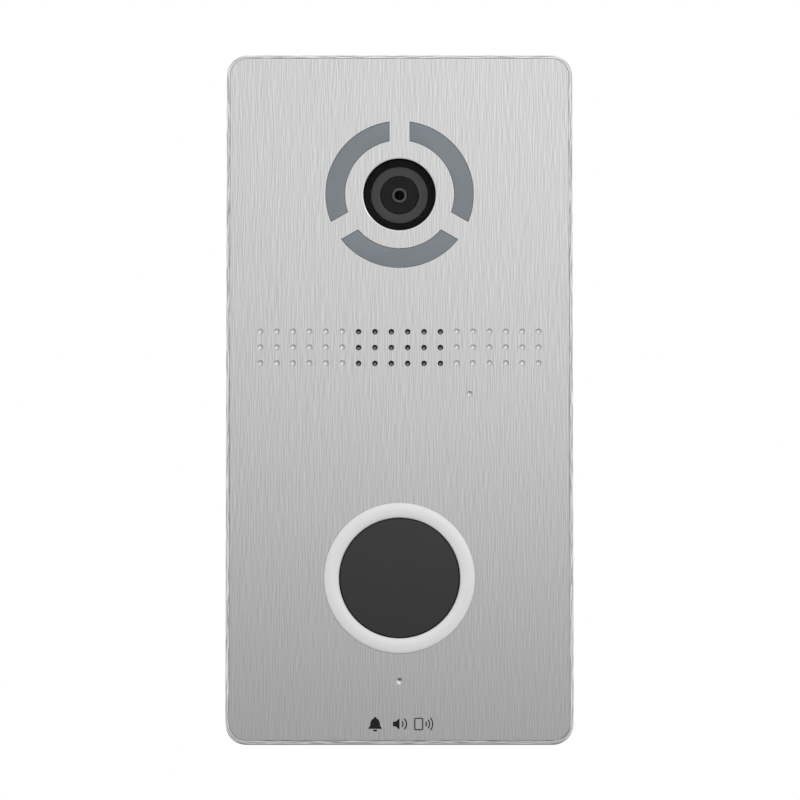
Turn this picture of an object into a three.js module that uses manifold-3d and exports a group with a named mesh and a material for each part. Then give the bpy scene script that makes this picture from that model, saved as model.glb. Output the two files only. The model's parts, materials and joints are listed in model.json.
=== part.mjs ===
// Flush-mounted door intercom panel: a brushed plate over a rear housing that sits in a hole in the wall.
// Millimetres. +X is right as a visitor sees the panel, +Y goes into the wall, +Z is up.
// The origin is on the wall's surface, in the middle of the plate's outline.

import * as THREE from 'three';
import { mergeVertices } from 'three/addons/utils/BufferGeometryUtils.js';
import Module from 'manifold-3d';

const wasm = await Module();
wasm.setup();

// ------------------------------------------------------------------ driving dimensions

const TOUCH = 0.05; // left between faces that rest on each other
const SLIP = 0.3; // left around a piece that moves or drops into a hole
const LARGE = 36; // sides on a round piece, from the light slots down to the sound holes
const BROAD = 32;
const ROUND = 28;
const MEDIUM = 18;
const SMALL = 10;
const TINY = 6;

const PLATE = { width: 100, height: 200, corner: 6, front: -5, back: -1, chamfer: 0.9 };
const WALL_GASKET = { outerInset: 1, sideInset: 4, endInset: 7, corner: 5 };
const HOUSING = { width: 88, height: 176, corner: 5, wall: 2, front: 0.2, back: 35 };

const CAMERA = { z: 59.25, window: 10.3, mask: 8.2, ledge: 9, seat: -3, hood: -3.2 };
const LENS = { front: -3.15, seat: -1.5, barrel: 5.5, thread: 5.9, bezel: 2.2, glass: 1.4, back: 9.6 };
const LIGHT = { inner: 15.75, outer: 21.45, gap: 5.8, first: 90, count: 3, fit: 0.15 };
const SOUND = { z: 14.6, columns: 18, rows: 3, pitchX: 4.72, pitchZ: 4.6, radius: 0.75, openColumns: 6 };
const SPEAKER = { radius: 18, front: 1, magnet: 9, tab: -9.5 };
const VOICE_COIL = { inner: 4.75, outer: 5.2, back: 10.6 };
const RECESS = { radius: 16.3, front: -3.4 }; // turned into the back of the plate over the speaker
const BUTTON = { z: -52.2, cap: 17.1, ringInner: 17.35, ringOuter: 21.7, opening: 21.9, flange: 23.5 };
const CAP = { front: PLATE.front - 0.6, lip: 19, lipFront: 2.35, stem: 2.4, back: 5.6 };
const BUTTON_SPRING = { radius: 4.3, wire: 0.4, front: -3.9, back: 5.1, turns: 5 };
const MICROPHONE = { z: -82, hole: 0.75, capsule: 3, boot: 3.7 };
const LIGHT_SENSOR = { x: 20.2, z: 1.05, hole: 0.6 };

const BOARD = { width: 80, height: 164, front: 20, thickness: 1.6 };
const BOARD_BACK = BOARD.front + BOARD.thickness;
const ON_BOARD = BOARD_BACK + TOUCH; // where pieces soldered to the back of the main board start
const BEHIND_PLATE = PLATE.back + TOUCH; // where pieces that rest on the back of the plate start
const HOUSING_FLOOR = HOUSING.back - HOUSING.wall;

const COLUMN = { x: 38.5, z: 82.5, radius: 4.2, bore: 1.7, counterbore: 3.1, seat: 32.9 };
const BOSS = { x: 36, z: -14, radius: 3.4, bore: 1.45, depth: 8 };
const BRACKET = { footEnd: 27, leg: 18.4, sheet: 1.2, back: 15.3, height: 8, screwX: 23.3 };
const BRACKET_SCREW = [2.3, 1.5, 1.1, 3.6]; // each screw: head radius and depth, shank radius and length
const HOUSING_SCREW = [2.8, 1.8, 1.45, COLUMN.seat + TOUCH - PLATE.front - 1.3];
const HOOK_SCREW = [2.4, 1.4, 1.3, 4];
const BOARD_SCREW = [2.7, 1.6, 1.2, 7];
const HOOK = { width: 40, sheet: 1.2, front: 1, back: 10.2, rise: 4.5, screwX: 14, screwY: 4.2, bore: 1.45 };
const LOCK = { x: 30, y: -3, bore: 1.4, screw: 1.25, length: 7.8 };
const LOCK_POCKET = { front: -4.6, width: 12, top: -88.6, end: -92.6 };

const CAPACITORS = [{ x: 26, z: -30, radius: 5, back: 31 }, { x: 14, z: -30, radius: 4, back: 30 }];
const CHIPS = [{ x: -4, z: -62, size: 12, back: 26 }, { x: -6, z: 14, size: 14, back: 23.4 }];
const JACK = { x: -20, z: 44, size: 16 };
const TERMINAL = { x: 10, z: 44, ways: 8, pitch: 3.5, width: 30, height: 8.4, back: 29.5 };
const RELAY = { x: 22, z: 14, width: 19, height: 15.5, back: 32.4 };
const TAMPER = { x: -24, z: -40, body: 9, floor: 22.8, bore: 3.4, shaft: 1.5, hole: 1.95, reach: 38 };
const TAMPER_COLLAR = { radius: 2.8, front: 31.9, back: HOUSING_FLOOR - 0.15 };
const TAMPER_SPRING = { radius: 2.35, wire: 0.28, gap: 0.1, turns: 6 };
const SHIELD = { x: -8, z: -4, width: 30, height: 28, depth: 3, sheet: 0.4 };

const FLAT_PLUG = { width: 12, height: 4, depth: 1.8 }; // the flat cables' connectors
const CAMERA_PLUG_Z = 37; // where they are on the front of the main board
const BUTTON_PLUG_Z = -24;
const OVERLAP = 0.15; // how far a soldered part reaches into its board

// ------------------------------------------------------------------ solids

/** A closed three.js geometry as a solid that can be joined and cut. */
function toSolid(geometry) {
  const bare = geometry.clone();
  bare.deleteAttribute('normal');
  bare.deleteAttribute('uv');
  const merged = mergeVertices(bare, 1e-4);
  const corners = merged.index.array;
  const kept = [];
  for (let i = 0; i < corners.length; i += 3) {
    const [a, b, c] = [corners[i], corners[i + 1], corners[i + 2]];
    // a lathe's triangles have no area where its profile meets the axis
    if (a !== b && b !== c && c !== a) kept.push(a, b, c);
  }
  const mesh = new wasm.Mesh({
    numProp: 3,
    vertProperties: Float32Array.from(merged.attributes.position.array),
    triVerts: Uint32Array.from(kept),
  });
  return new wasm.Manifold(mesh);
}

/** A solid as a three.js geometry. */
function toGeometry(solid) {
  const mesh = solid.getMesh();
  const geometry = new THREE.BufferGeometry();
  geometry.setAttribute('position', new THREE.BufferAttribute(Float32Array.from(mesh.vertProperties), 3));
  geometry.setIndex(new THREE.BufferAttribute(Uint32Array.from(mesh.triVerts), 1));
  geometry.computeVertexNormals();
  return geometry;
}

const join = (solids) => solids.reduce((all, one) => all.add(one));
const cut = (solid, cutters) => cutters.reduce((rest, one) => rest.subtract(one), solid);

/** A rectangle with round corners in X and Z. */
function roundedRect(width, height, radius) {
  const [x, z] = [width / 2 - radius, height / 2 - radius];
  const shape = new THREE.Shape();
  shape.absarc(x, z, radius, 0, Math.PI / 2);
  shape.absarc(-x, z, radius, Math.PI / 2, Math.PI);
  shape.absarc(-x, -z, radius, Math.PI, 1.5 * Math.PI);
  shape.absarc(x, -z, radius, 1.5 * Math.PI, 2 * Math.PI);
  return shape;
}

/** An outline in X and Z, made solid between two depths. */
function slab(shape, front, back) {
  const depth = back - front;
  const geometry = new THREE.ExtrudeGeometry(shape, { depth, bevelEnabled: false, curveSegments: 4 });
  geometry.rotateX(Math.PI / 2);
  geometry.translate(0, back, 0);
  return toSolid(geometry);
}

/** A box by its centre in X and Z, its sides there and its depths. */
function block(x, z, width, height, front, back) {
  const geometry = new THREE.BoxGeometry(width, back - front, height);
  geometry.translate(x, (front + back) / 2, z);
  return toSolid(geometry);
}

/** A round bar along Y; it tapers where frontRadius is given. */
function disc(radius, front, back, sides, x = 0, z = 0, frontRadius = radius) {
  const geometry = new THREE.CylinderGeometry(radius, frontRadius, back - front, sides);
  geometry.translate(x, (front + back) / 2, z);
  return toSolid(geometry);
}

/** A round bar along Z. */
function pillar(radius, bottom, top, sides, x = 0, y = 0) {
  const geometry = new THREE.CylinderGeometry(radius, radius, top - bottom, sides);
  geometry.rotateX(Math.PI / 2);
  geometry.translate(x, y, (bottom + top) / 2);
  return toSolid(geometry);
}

/** A piece turned about Y from [radius, depth] points listed from its front, outwards, and back inwards. */
function turned(profile, sides) {
  const points = profile.map(([radius, depth]) => new THREE.Vector2(radius, depth));
  if (profile[0][0] > 0) points.push(points[0].clone());
  return toSolid(new THREE.LatheGeometry(points, sides));
}

/** A flat washer-shaped piece. */
function ring(inner, outer, front, back, sides) {
  return turned([[inner, front], [outer, front], [outer, back], [inner, back]], sides);
}

/** An outline in X and Y, made solid over a height centred on z = 0. */
function prism(points, height) {
  const shape = new THREE.Shape(points.map(([x, y]) => new THREE.Vector2(x, y)));
  const geometry = new THREE.ExtrudeGeometry(shape, { depth: height, bevelEnabled: false });
  geometry.translate(0, 0, -height / 2);
  return toSolid(geometry);
}

/** An outline in Y and Z, made solid over a width centred on x = 0. */
function bar(points, width) {
  const shape = new THREE.Shape(points.map(([y, z]) => new THREE.Vector2(y, z)));
  const geometry = new THREE.ExtrudeGeometry(shape, { depth: width, bevelEnabled: false });
  const axes = [new THREE.Vector3(0, 1, 0), new THREE.Vector3(0, 0, 1), new THREE.Vector3(1, 0, 0)];
  geometry.applyMatrix4(new THREE.Matrix4().makeBasis(...axes));
  geometry.translate(-width / 2, 0, 0);
  return toSolid(geometry);
}

/** A smooth strip of thin sheet that bends in Y and Z, such as a flat cable. */
function ribbon(route, width, thickness) {
  const curve = new THREE.SplineCurve(route.map(([y, z]) => new THREE.Vector2(y, z)));
  const steps = 9;
  const near = [];
  const far = [];
  for (let i = 0; i <= steps; i += 1) {
    const point = curve.getPoint(i / steps);
    const along = curve.getTangent(i / steps);
    const side = new THREE.Vector2(-along.y, along.x).multiplyScalar(thickness / 2);
    near.push([point.x - side.x, point.y - side.y]);
    far.unshift([point.x + side.x, point.y + side.y]);
  }
  return bar([...near, ...far], width);
}

/** A tube of a small polygon section along a curve. */
function tube(curve, radius, sides, steps) {
  const section = new THREE.Shape();
  for (let i = 0; i < sides; i += 1) {
    const angle = (2 * Math.PI * i) / sides;
    section[i ? 'lineTo' : 'moveTo'](radius * Math.cos(angle), radius * Math.sin(angle));
  }
  return toSolid(new THREE.ExtrudeGeometry(section, { steps, extrudePath: curve, bevelEnabled: false }));
}

/** The centre line of a coil spring along Y. */
class SpringCurve extends THREE.Curve {
  constructor(radius, front, back, turns) {
    super();
    Object.assign(this, { radius, front, back, turns });
  }

  getPoint(t, target = new THREE.Vector3()) {
    const angle = 2 * Math.PI * this.turns * t;
    const depth = this.front + (this.back - this.front) * t;
    return target.set(this.radius * Math.cos(angle), depth, this.radius * Math.sin(angle));
  }
}

/** A coil spring that fills the depths given, wire included. */
function spring(radius, wire, front, back, turns) {
  const stepsPerTurn = 8;
  const centre = new SpringCurve(radius, front + wire, back - wire, turns);
  return tube(centre, wire, 5, Math.round(stepsPerTurn * turns));
}

/** A screw along Y with its head behind y = 0, its shank in front of it and a hexagon socket. */
function screw(headRadius, headDepth, shankRadius, shankLength) {
  const profile = [
    [0, -shankLength],
    [shankRadius, -shankLength],
    [shankRadius, 0],
    [headRadius, 0],
    [headRadius, headDepth],
    [0, headDepth],
  ];
  const socket = disc(0.45 * headRadius, 0.45 * headDepth, headDepth + 1, 6);
  return cut(turned(profile, SMALL), [socket]);
}

// ------------------------------------------------------------------ finishes: colour, roughness, metalness

const FINISHES = {
  brushed_aluminium: [0xb8babb, 0.36, 1],
  steel: [0x9a9c9e, 0.35, 1],
  screw_steel: [0x8b8c8e, 0.32, 1],
  copper: [0xb06a3a, 0.4, 1],
  black_plastic: [0x1d1e20, 0.6, 0],
  housing_plastic: [0x222325, 0.65, 0],
  black_gloss: [0x343536, 0.28, 0],
  white_plastic: [0xf0f1f2, 0.4, 0],
  light_guide: [0x7d8187, 0.5, 0],
  smoked_window: [0x16171a, 0.06, 0],
  mask_print: [0x141516, 0.5, 0],
  hood_plastic: [0x3f4042, 0.6, 0],
  lens_metal: [0x1b1b1d, 0.4, 0.4],
  lens_glass: [0x14161c, 0.04, 0],
  bezel_metal: [0x4a4b4d, 0.4, 0.6],
  rubber: [0x18191a, 0.85, 0],
  foam: [0x2a2b2c, 0.95, 0],
  board_green: [0x1f4d35, 0.5, 0],
  connector_plastic: [0x2f7d4a, 0.5, 0],
  paper_cone: [0x26241f, 0.9, 0],
  flex_cable: [0x9a5b25, 0.45, 0],
  lead_cover: [0x9c2420, 0.5, 0],
};

const panel = new THREE.Group();

/** A group at a place on the panel's face. */
function station(x, z) {
  const group = new THREE.Group();
  group.position.set(x, 0, z);
  panel.add(group);
  return group;
}

/** One named piece with a material of its own, added to a group. */
function piece(group, name, solid, finish) {
  const [color, roughness, metalness] = FINISHES[finish];
  const material = new THREE.MeshStandardMaterial({ color, roughness, metalness });
  const mesh = new THREE.Mesh(toGeometry(solid), material);
  mesh.name = name;
  group.add(mesh);
  return mesh;
}

// ------------------------------------------------------------------ front plate

/** The light slots, or the ribs that fill them when fit is the gap kept all round. */
function lightArcs(front, back, fit) {
  const arcs = ring(LIGHT.inner + fit, LIGHT.outer - fit, front, back, LARGE);
  const bars = [];
  for (let i = 0; i < LIGHT.count; i += 1) {
    const angle = THREE.MathUtils.degToRad(LIGHT.first + (360 / LIGHT.count) * i);
    const geometry = new THREE.BoxGeometry(LIGHT.outer, back - front + 2, LIGHT.gap + 2 * fit);
    geometry.translate(LIGHT.outer / 2 + 2, (front + back) / 2, 0);
    geometry.rotateY(-angle);
    bars.push(toSolid(geometry));
  }
  return cut(arcs, bars);
}

/** The grid of sound holes: open over the speaker, shallow dimples on both sides of it. */
function soundHoles() {
  const dimpleDepth = 0.6;
  const holes = [];
  for (let column = 0; column < SOUND.columns; column += 1) {
    for (let row = 0; row < SOUND.rows; row += 1) {
      const fromCentre = column - (SOUND.columns - 1) / 2;
      const x = fromCentre * SOUND.pitchX;
      const z = SOUND.z + (row - (SOUND.rows - 1) / 2) * SOUND.pitchZ;
      const open = Math.abs(fromCentre) < SOUND.openColumns / 2;
      const back = open ? PLATE.back + 1 : PLATE.front + dimpleDepth;
      const bottomRadius = open ? SOUND.radius : SOUND.radius / 2;
      holes.push(disc(bottomRadius, PLATE.front - 0.2, back, TINY, x, z, SOUND.radius));
    }
  }
  return holes;
}

/** The plate's blank, chamfered round its front edge only. */
function plateBlank() {
  const { width, height, corner, chamfer, front, back } = PLATE;
  const depth = 2 * (back - front);
  const geometry = new THREE.ExtrudeGeometry(roundedRect(width, height, corner), {
    depth,
    bevelThickness: chamfer,
    bevelSize: chamfer,
    bevelOffset: -chamfer,
    bevelSegments: 1,
    curveSegments: 6,
  });
  geometry.rotateX(Math.PI / 2);
  geometry.translate(0, front + depth + chamfer, 0);
  const behind = block(0, 0, width + 2, height + 2, back, back + 2 * depth);
  return cut(toSolid(geometry), [behind]);
}

function frontPlate() {
  const ahead = PLATE.front - 1;
  const beyond = PLATE.back + 1;
  const [housingBore, housingBoreEnd] = [1.6, PLATE.front + 1];
  const [bracketBore, bracketBoreEnd] = [1.3, PLATE.front + 1.4];
  const windowHole = CAMERA.window + 0.15;
  const cutters = [
    disc(windowHole, ahead, CAMERA.seat, ROUND, 0, CAMERA.z),
    disc(CAMERA.ledge, ahead, beyond, ROUND, 0, CAMERA.z),
    lightArcs(ahead, beyond, 0).translate([0, 0, CAMERA.z]),
    disc(RECESS.radius, RECESS.front, beyond, ROUND, 0, SOUND.z),
    disc(BUTTON.opening, ahead, beyond, BROAD, 0, BUTTON.z),
    disc(MICROPHONE.hole, ahead, beyond, TINY, 0, MICROPHONE.z),
    disc(LIGHT_SENSOR.hole, ahead, beyond, TINY, LIGHT_SENSOR.x, LIGHT_SENSOR.z),
    ...soundHoles(),
  ];
  for (const side of [-1, 1]) {
    for (const end of [-1, 1]) {
      cutters.push(disc(housingBore, housingBoreEnd, beyond, SMALL, side * COLUMN.x, end * COLUMN.z));
    }
    cutters.push(disc(bracketBore, bracketBoreEnd, beyond, SMALL, side * BRACKET.screwX, SOUND.z));
    const { front, width, top, end } = LOCK_POCKET;
    const pocketZ = (top + end) / 2;
    cutters.push(block(side * LOCK.x, pocketZ, width, top - end, front, beyond));
    cutters.push(pillar(LOCK.bore, -PLATE.height / 2 - 1, pocketZ, SMALL, side * LOCK.x, LOCK.y));
  }
  return cut(plateBlank(), cutters);
}

// ------------------------------------------------------------------ wall gasket, housing and its fasteners

function wallGasket() {
  const { outerInset, sideInset, endInset, corner } = WALL_GASKET;
  const outer = roundedRect(PLATE.width - 2 * outerInset, PLATE.height - 2 * outerInset, corner);
  const inner = roundedRect(PLATE.width - 2 * sideInset, PLATE.height - 2 * endInset, corner - 2);
  return cut(slab(outer, BEHIND_PLATE, 0), [slab(inner, BEHIND_PLATE - 1, 1)]);
}

/** The housing's outline, moved inwards. */
const housingOutline = (inset) =>
  roundedRect(HOUSING.width - 2 * inset, HOUSING.height - 2 * inset, HOUSING.corner - inset);

function housingSeal() {
  const inset = 0.2;
  const front = BEHIND_PLATE;
  const back = HOUSING.front - TOUCH;
  const opening = slab(housingOutline(HOUSING.wall - inset), front - 1, back + 1);
  return cut(slab(housingOutline(inset), front, back), [opening]);
}

function rearHousing() {
  const { wall, front, back } = HOUSING;
  const inside = slab(housingOutline(wall), front - 1, HOUSING_FLOOR);
  const shell = cut(slab(housingOutline(0), front, back), [inside]);
  const columns = [];
  const cutters = [
    block(JACK.x, JACK.z, JACK.size + 2 * SLIP, JACK.size + 2 * SLIP, HOUSING_FLOOR - 1, back + 1),
    block(TERMINAL.x, TERMINAL.z, TERMINAL.width, TERMINAL.height + 2 * SLIP, HOUSING_FLOOR - 1, back + 1),
    disc(TAMPER.hole, HOUSING_FLOOR - 1, back + 1, SMALL, TAMPER.x, TAMPER.z),
  ];
  for (const side of [-1, 1]) {
    for (const end of [-1, 1]) {
      const place = [SMALL, side * COLUMN.x, end * COLUMN.z];
      columns.push(disc(COLUMN.radius, front, HOUSING_FLOOR + 1, ...place));
      cutters.push(disc(COLUMN.bore, front - 1, back + 1, ...place));
      cutters.push(disc(COLUMN.counterbore, COLUMN.seat, back + 1, ...place));
    }
    const place = [SMALL, side * BOSS.x, BOSS.z];
    columns.push(disc(BOSS.radius, ON_BOARD, HOUSING_FLOOR + 1, ...place));
    cutters.push(disc(BOSS.bore, ON_BOARD - 1, ON_BOARD + BOSS.depth, ...place));
    const top = HOUSING.height / 2;
    cutters.push(pillar(HOOK.bore, top - wall - 1, top + 1, SMALL, side * HOOK.screwX, HOOK.screwY));
  }
  return cut(join([shell, ...columns]), cutters);
}

/** The steel hook on top of the housing that hangs the panel on the lip of a wall box. */
function hookBracket() {
  const foot = HOUSING.height / 2 + TOUCH;
  const profile = [
    [HOOK.front, foot],
    [HOOK.back, foot],
    [HOOK.back, foot + HOOK.rise],
    [HOOK.back - HOOK.sheet, foot + HOOK.rise],
    [HOOK.back - HOOK.sheet, foot + HOOK.sheet],
    [HOOK.front, foot + HOOK.sheet],
  ];
  const bore = HOOK.bore + TOUCH;
  const hole = (side) => pillar(bore, foot - 1, foot + 3, SMALL, side * HOOK.screwX, HOOK.screwY);
  return cut(bar(profile, HOOK.width), [hole(-1), hole(1)]);
}

/** A headless screw along Z with a hexagon socket in its lower end. */
function lockScrew() {
  const [key, keyDepth] = [0.7, 1.4];
  return cut(pillar(LOCK.screw, 0, LOCK.length, SMALL), [pillar(key, -1, keyDepth, 6)]);
}

function addShell() {
  piece(panel, 'front_plate', frontPlate(), 'brushed_aluminium');
  piece(panel, 'wall_gasket', wallGasket(), 'foam');
  piece(panel, 'housing_seal', housingSeal(), 'rubber');
  piece(panel, 'rear_housing', rearHousing(), 'housing_plastic');
  piece(panel, 'hook_bracket', hookBracket(), 'steel');

  const sides = { left: -1, right: 1 };
  const ends = { upper: 1, lower: -1 };
  const housingScrew = screw(...HOUSING_SCREW);
  const hookScrew = screw(...HOOK_SCREW);
  for (const [sideName, side] of Object.entries(sides)) {
    for (const [endName, end] of Object.entries(ends)) {
      const long = piece(panel, `housing_screw_${endName}_${sideName}`, housingScrew, 'screw_steel');
      long.position.set(side * COLUMN.x, COLUMN.seat + TOUCH, end * COLUMN.z);
    }
    const short = piece(panel, `hook_screw_${sideName}`, hookScrew, 'screw_steel');
    short.position.set(side * HOOK.screwX, HOOK.screwY, HOUSING.height / 2 + HOOK.sheet + 2 * TOUCH);
    short.rotation.x = Math.PI / 2;
    const lock = piece(panel, `lock_screw_${sideName}`, lockScrew(), 'screw_steel');
    lock.position.set(side * LOCK.x, LOCK.y, -PLATE.height / 2 + 0.8);
  }
}

// ------------------------------------------------------------------ camera and its light

/** A flat-fronted collar round the lens, with a flange that rests on the back of the plate. */
function lensHood() {
  const [flange, flangeBack, sheet, outer] = [11, 0.8, 1, CAMERA.ledge - 0.25];
  const bore = LENS.barrel + 0.1;
  const profile = [
    [bore, CAMERA.hood],
    [outer, CAMERA.hood],
    [outer, BEHIND_PLATE],
    [flange, BEHIND_PLATE],
    [flange, flangeBack],
    [outer - sheet, flangeBack],
    [outer - sheet, CAMERA.hood + sheet],
    [bore, CAMERA.hood + sheet],
  ];
  return turned(profile, ROUND);
}

/** The threaded barrel, bored in front for the first element and wider behind for the others. */
function lensBarrel() {
  const [threadFront, rearBore, rearBoreFront, throat] = [2.4, 3, 0, 1.2];
  const profile = [
    [LENS.bezel + TOUCH, LENS.front],
    [LENS.barrel, LENS.front],
    [LENS.barrel, threadFront],
    [LENS.thread, threadFront],
    [LENS.thread, LENS.back],
    [rearBore, LENS.back],
    [rearBore, rearBoreFront],
    [throat, rearBoreFront],
    [throat, LENS.seat],
    [LENS.bezel + TOUCH, LENS.seat],
  ];
  return turned(profile, MEDIUM);
}

/** The outermost element: flat behind, domed in front. */
function lensGlass() {
  const { glass } = LENS;
  const [middle, edge, back] = [LENS.front + 0.15, LENS.front + 0.45, LENS.seat - TOUCH];
  return turned([[0, middle], [glass / 2, middle + 0.08], [glass, edge], [glass, back], [0, back]], SMALL);
}

/** The ring that holds the outermost element in the barrel. */
const lensBezel = () => ring(LENS.glass + TOUCH, LENS.bezel, LENS.front + TOUCH, LENS.seat - TOUCH, MEDIUM);

function lensHolder() {
  const [front, baseFront, chamberFront, back] = [3, 9, 10.6, 13.9];
  const [tubeRadius, thread, base, chamber] = [7.2, LENS.thread + 0.12, 16, 11];
  const outside = join([
    disc(tubeRadius, front, baseFront + 1, MEDIUM),
    block(0, 0, base, base, baseFront, back),
  ]);
  const bore = disc(thread, front - 1, chamberFront + 0.5, MEDIUM);
  return cut(outside, [bore, block(0, 0, chamber, chamber, chamberFront, back + 1)]);
}

/** The camera's board with the flat cable's connector soldered to its back. */
function sensorBoard() {
  const [size, front, back] = [24, 13.95, 15.15];
  const [plugZ, plugBack] = [-8, 16.7];
  const plug = block(0, plugZ, FLAT_PLUG.width, FLAT_PLUG.height, back - OVERLAP, plugBack);
  return join([block(0, 0, size, size, front, back), plug]);
}

/** The window's three flat pieces: clear pane, printed mask and the seal that it rests on. */
function addWindow(camera) {
  const [paneBack, maskFront, maskBack, sealFront, sealBack] = [-3.5, -3.45, -3.3, -3.25, -3.05];
  const [maskOuter, sealInner] = [CAMERA.window - 0.05, CAMERA.ledge + 0.2];
  const pane = disc(CAMERA.window, PLATE.front + TOUCH, paneBack, ROUND);
  piece(camera, 'camera_window', pane, 'smoked_window');
  piece(camera, 'camera_mask', ring(CAMERA.mask, maskOuter, maskFront, maskBack, ROUND), 'mask_print');
  piece(camera, 'window_seal', ring(sealInner, maskOuter, sealFront, sealBack, ROUND), 'rubber');
}

/** One translucent moulding: a ring behind the plate, ribs that fill the slots and a rim for the board. */
function lightDiffuser() {
  const [sheetBack, rimBack] = [0.45, 2.55];
  const [inner, rimInner, outer] = [LIGHT.inner - 1.1, LIGHT.outer + 0.25, LIGHT.outer + 1.15];
  const base = [
    [inner, BEHIND_PLATE],
    [outer, BEHIND_PLATE],
    [outer, rimBack],
    [rimInner, rimBack],
    [rimInner, sheetBack],
    [inner, sheetBack],
  ];
  return join([turned(base, LARGE), lightArcs(PLATE.front + 0.1, BEHIND_PLATE + 0.45, LIGHT.fit)]);
}

/** The ring-shaped board behind the diffuser, with its light-emitting diodes soldered to the front. */
function lightBoard() {
  const [lamps, lampSize, lampFront] = [12, 2.8, 1.8];
  const [inner, outer, front, back] = [LIGHT.inner - 0.9, LIGHT.outer + 0.95, 2.6, 4];
  const middle = (LIGHT.inner + LIGHT.outer) / 2;
  const solids = [ring(inner, outer, front, back, ROUND)];
  for (let i = 0; i < lamps; i += 1) {
    const angle = (2 * Math.PI * (i + 0.5)) / lamps;
    const [x, z] = [middle * Math.cos(angle), middle * Math.sin(angle)];
    solids.push(block(x, z, lampSize, lampSize, lampFront, front + 0.1));
  }
  return join(solids);
}

function addCamera() {
  const camera = station(0, CAMERA.z);
  addWindow(camera);
  piece(camera, 'lens_hood', lensHood(), 'hood_plastic');
  piece(camera, 'lens_barrel', lensBarrel(), 'lens_metal');
  piece(camera, 'lens_glass', lensGlass(), 'lens_glass');
  piece(camera, 'lens_bezel', lensBezel(), 'bezel_metal');
  piece(camera, 'lens_holder', lensHolder(), 'black_plastic');
  piece(camera, 'sensor_board', sensorBoard(), 'board_green');
  const [chipWidth, chipHeight, chipFront, chipBack] = [8, 7.5, 12.9, 13.9];
  piece(camera, 'image_sensor', block(0, 0, chipWidth, chipHeight, chipFront, chipBack), 'black_gloss');
  piece(camera, 'light_diffuser', lightDiffuser(), 'light_guide');
  piece(camera, 'light_board', lightBoard(), 'board_green');
}

// ------------------------------------------------------------------ speaker and light sensor

/** The conical basket, with the tab that the speaker's lead is soldered to. */
function speakerFrame() {
  const [rimInner, rimBack, shoulder, shoulderBack] = [15.4, 2.8, 16.4, 3.4];
  const [neck, bore, back, sheet] = [9.4, 7, 8.8, 1];
  const profile = [
    [rimInner, SPEAKER.front],
    [SPEAKER.radius, SPEAKER.front],
    [SPEAKER.radius, rimBack],
    [shoulder, shoulderBack],
    [neck, back],
    [bore, back],
    [bore, back - sheet],
    [neck - sheet, back - sheet],
    [rimInner, shoulderBack - sheet],
  ];
  const [tabSize, tabFront, tabBack] = [3, 5.6, 8.2];
  const tab = block(SPEAKER.tab, SPEAKER.tab, tabSize, tabSize, tabFront, tabBack);
  return join([turned(profile, MEDIUM), tab]);
}

/** The cone, its dust cap and the voice coil's former, which move as one. */
function speakerCone() {
  const [cap, capFront, capEdge, capBack, capEdgeBack] = [2.6, 4, 4.25, 4.6, 4.9];
  const [neck, neckFront, neckBack] = [4.4, 5.2, 6.4];
  const [rim, rimFront, rimBack] = [15.1, 1.55, 1.9];
  const profile = [
    [0, capFront],
    [cap, capEdge],
    [neck, neckFront],
    [rim, rimFront],
    [rim, rimBack],
    [VOICE_COIL.outer, neckBack],
    [VOICE_COIL.outer, VOICE_COIL.back],
    [VOICE_COIL.inner, VOICE_COIL.back],
    [VOICE_COIL.inner, neckBack - 0.2],
    [cap, capEdgeBack],
    [0, capBack],
  ];
  return turned(profile, MEDIUM);
}

/** The magnet and its steel cup, with the slot that the voice coil moves in. */
function speakerMagnet() {
  const [front, back, slotEnd] = [8.85, 14, 13];
  const [slotInner, slotOuter] = [VOICE_COIL.inner - 0.25, VOICE_COIL.outer + 0.4];
  const profile = [
    [0, front],
    [slotInner, front],
    [slotInner, slotEnd],
    [slotOuter, slotEnd],
    [slotOuter, front],
    [SPEAKER.magnet, front],
    [SPEAKER.magnet, back],
    [0, back],
  ];
  return turned(profile, MEDIUM);
}

/** The bent strap that clamps the speaker to the back of the plate. */
function speakerBracket() {
  const { footEnd, leg, sheet, back, height, screwX } = BRACKET;
  const half = [
    [leg, back - sheet],
    [leg, BEHIND_PLATE],
    [footEnd, BEHIND_PLATE],
    [footEnd, BEHIND_PLATE + sheet],
    [leg + sheet, BEHIND_PLATE + sheet],
    [leg + sheet, back],
  ];
  const mirrored = half.map(([x, y]) => [-x, y]).reverse();
  const bore = 1.45;
  const holes = [-1, 1].map((side) => disc(bore, BEHIND_PLATE - 1, 2, SMALL, side * screwX, 0));
  return cut(prism([...half, ...mirrored], height), holes);
}

/** The soft collar that holds the mesh in its recess and seals the basket to the plate. */
function speakerGasket() {
  const [inner, collar, outer] = [14.5, RECESS.radius - 0.2, 17.5];
  const profile = [
    [inner, RECESS.front + 0.35],
    [collar, RECESS.front + 0.35],
    [collar, BEHIND_PLATE],
    [outer, BEHIND_PLATE],
    [outer, SPEAKER.front - TOUCH],
    [inner, SPEAKER.front - TOUCH],
  ];
  return turned(profile, MEDIUM);
}

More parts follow.
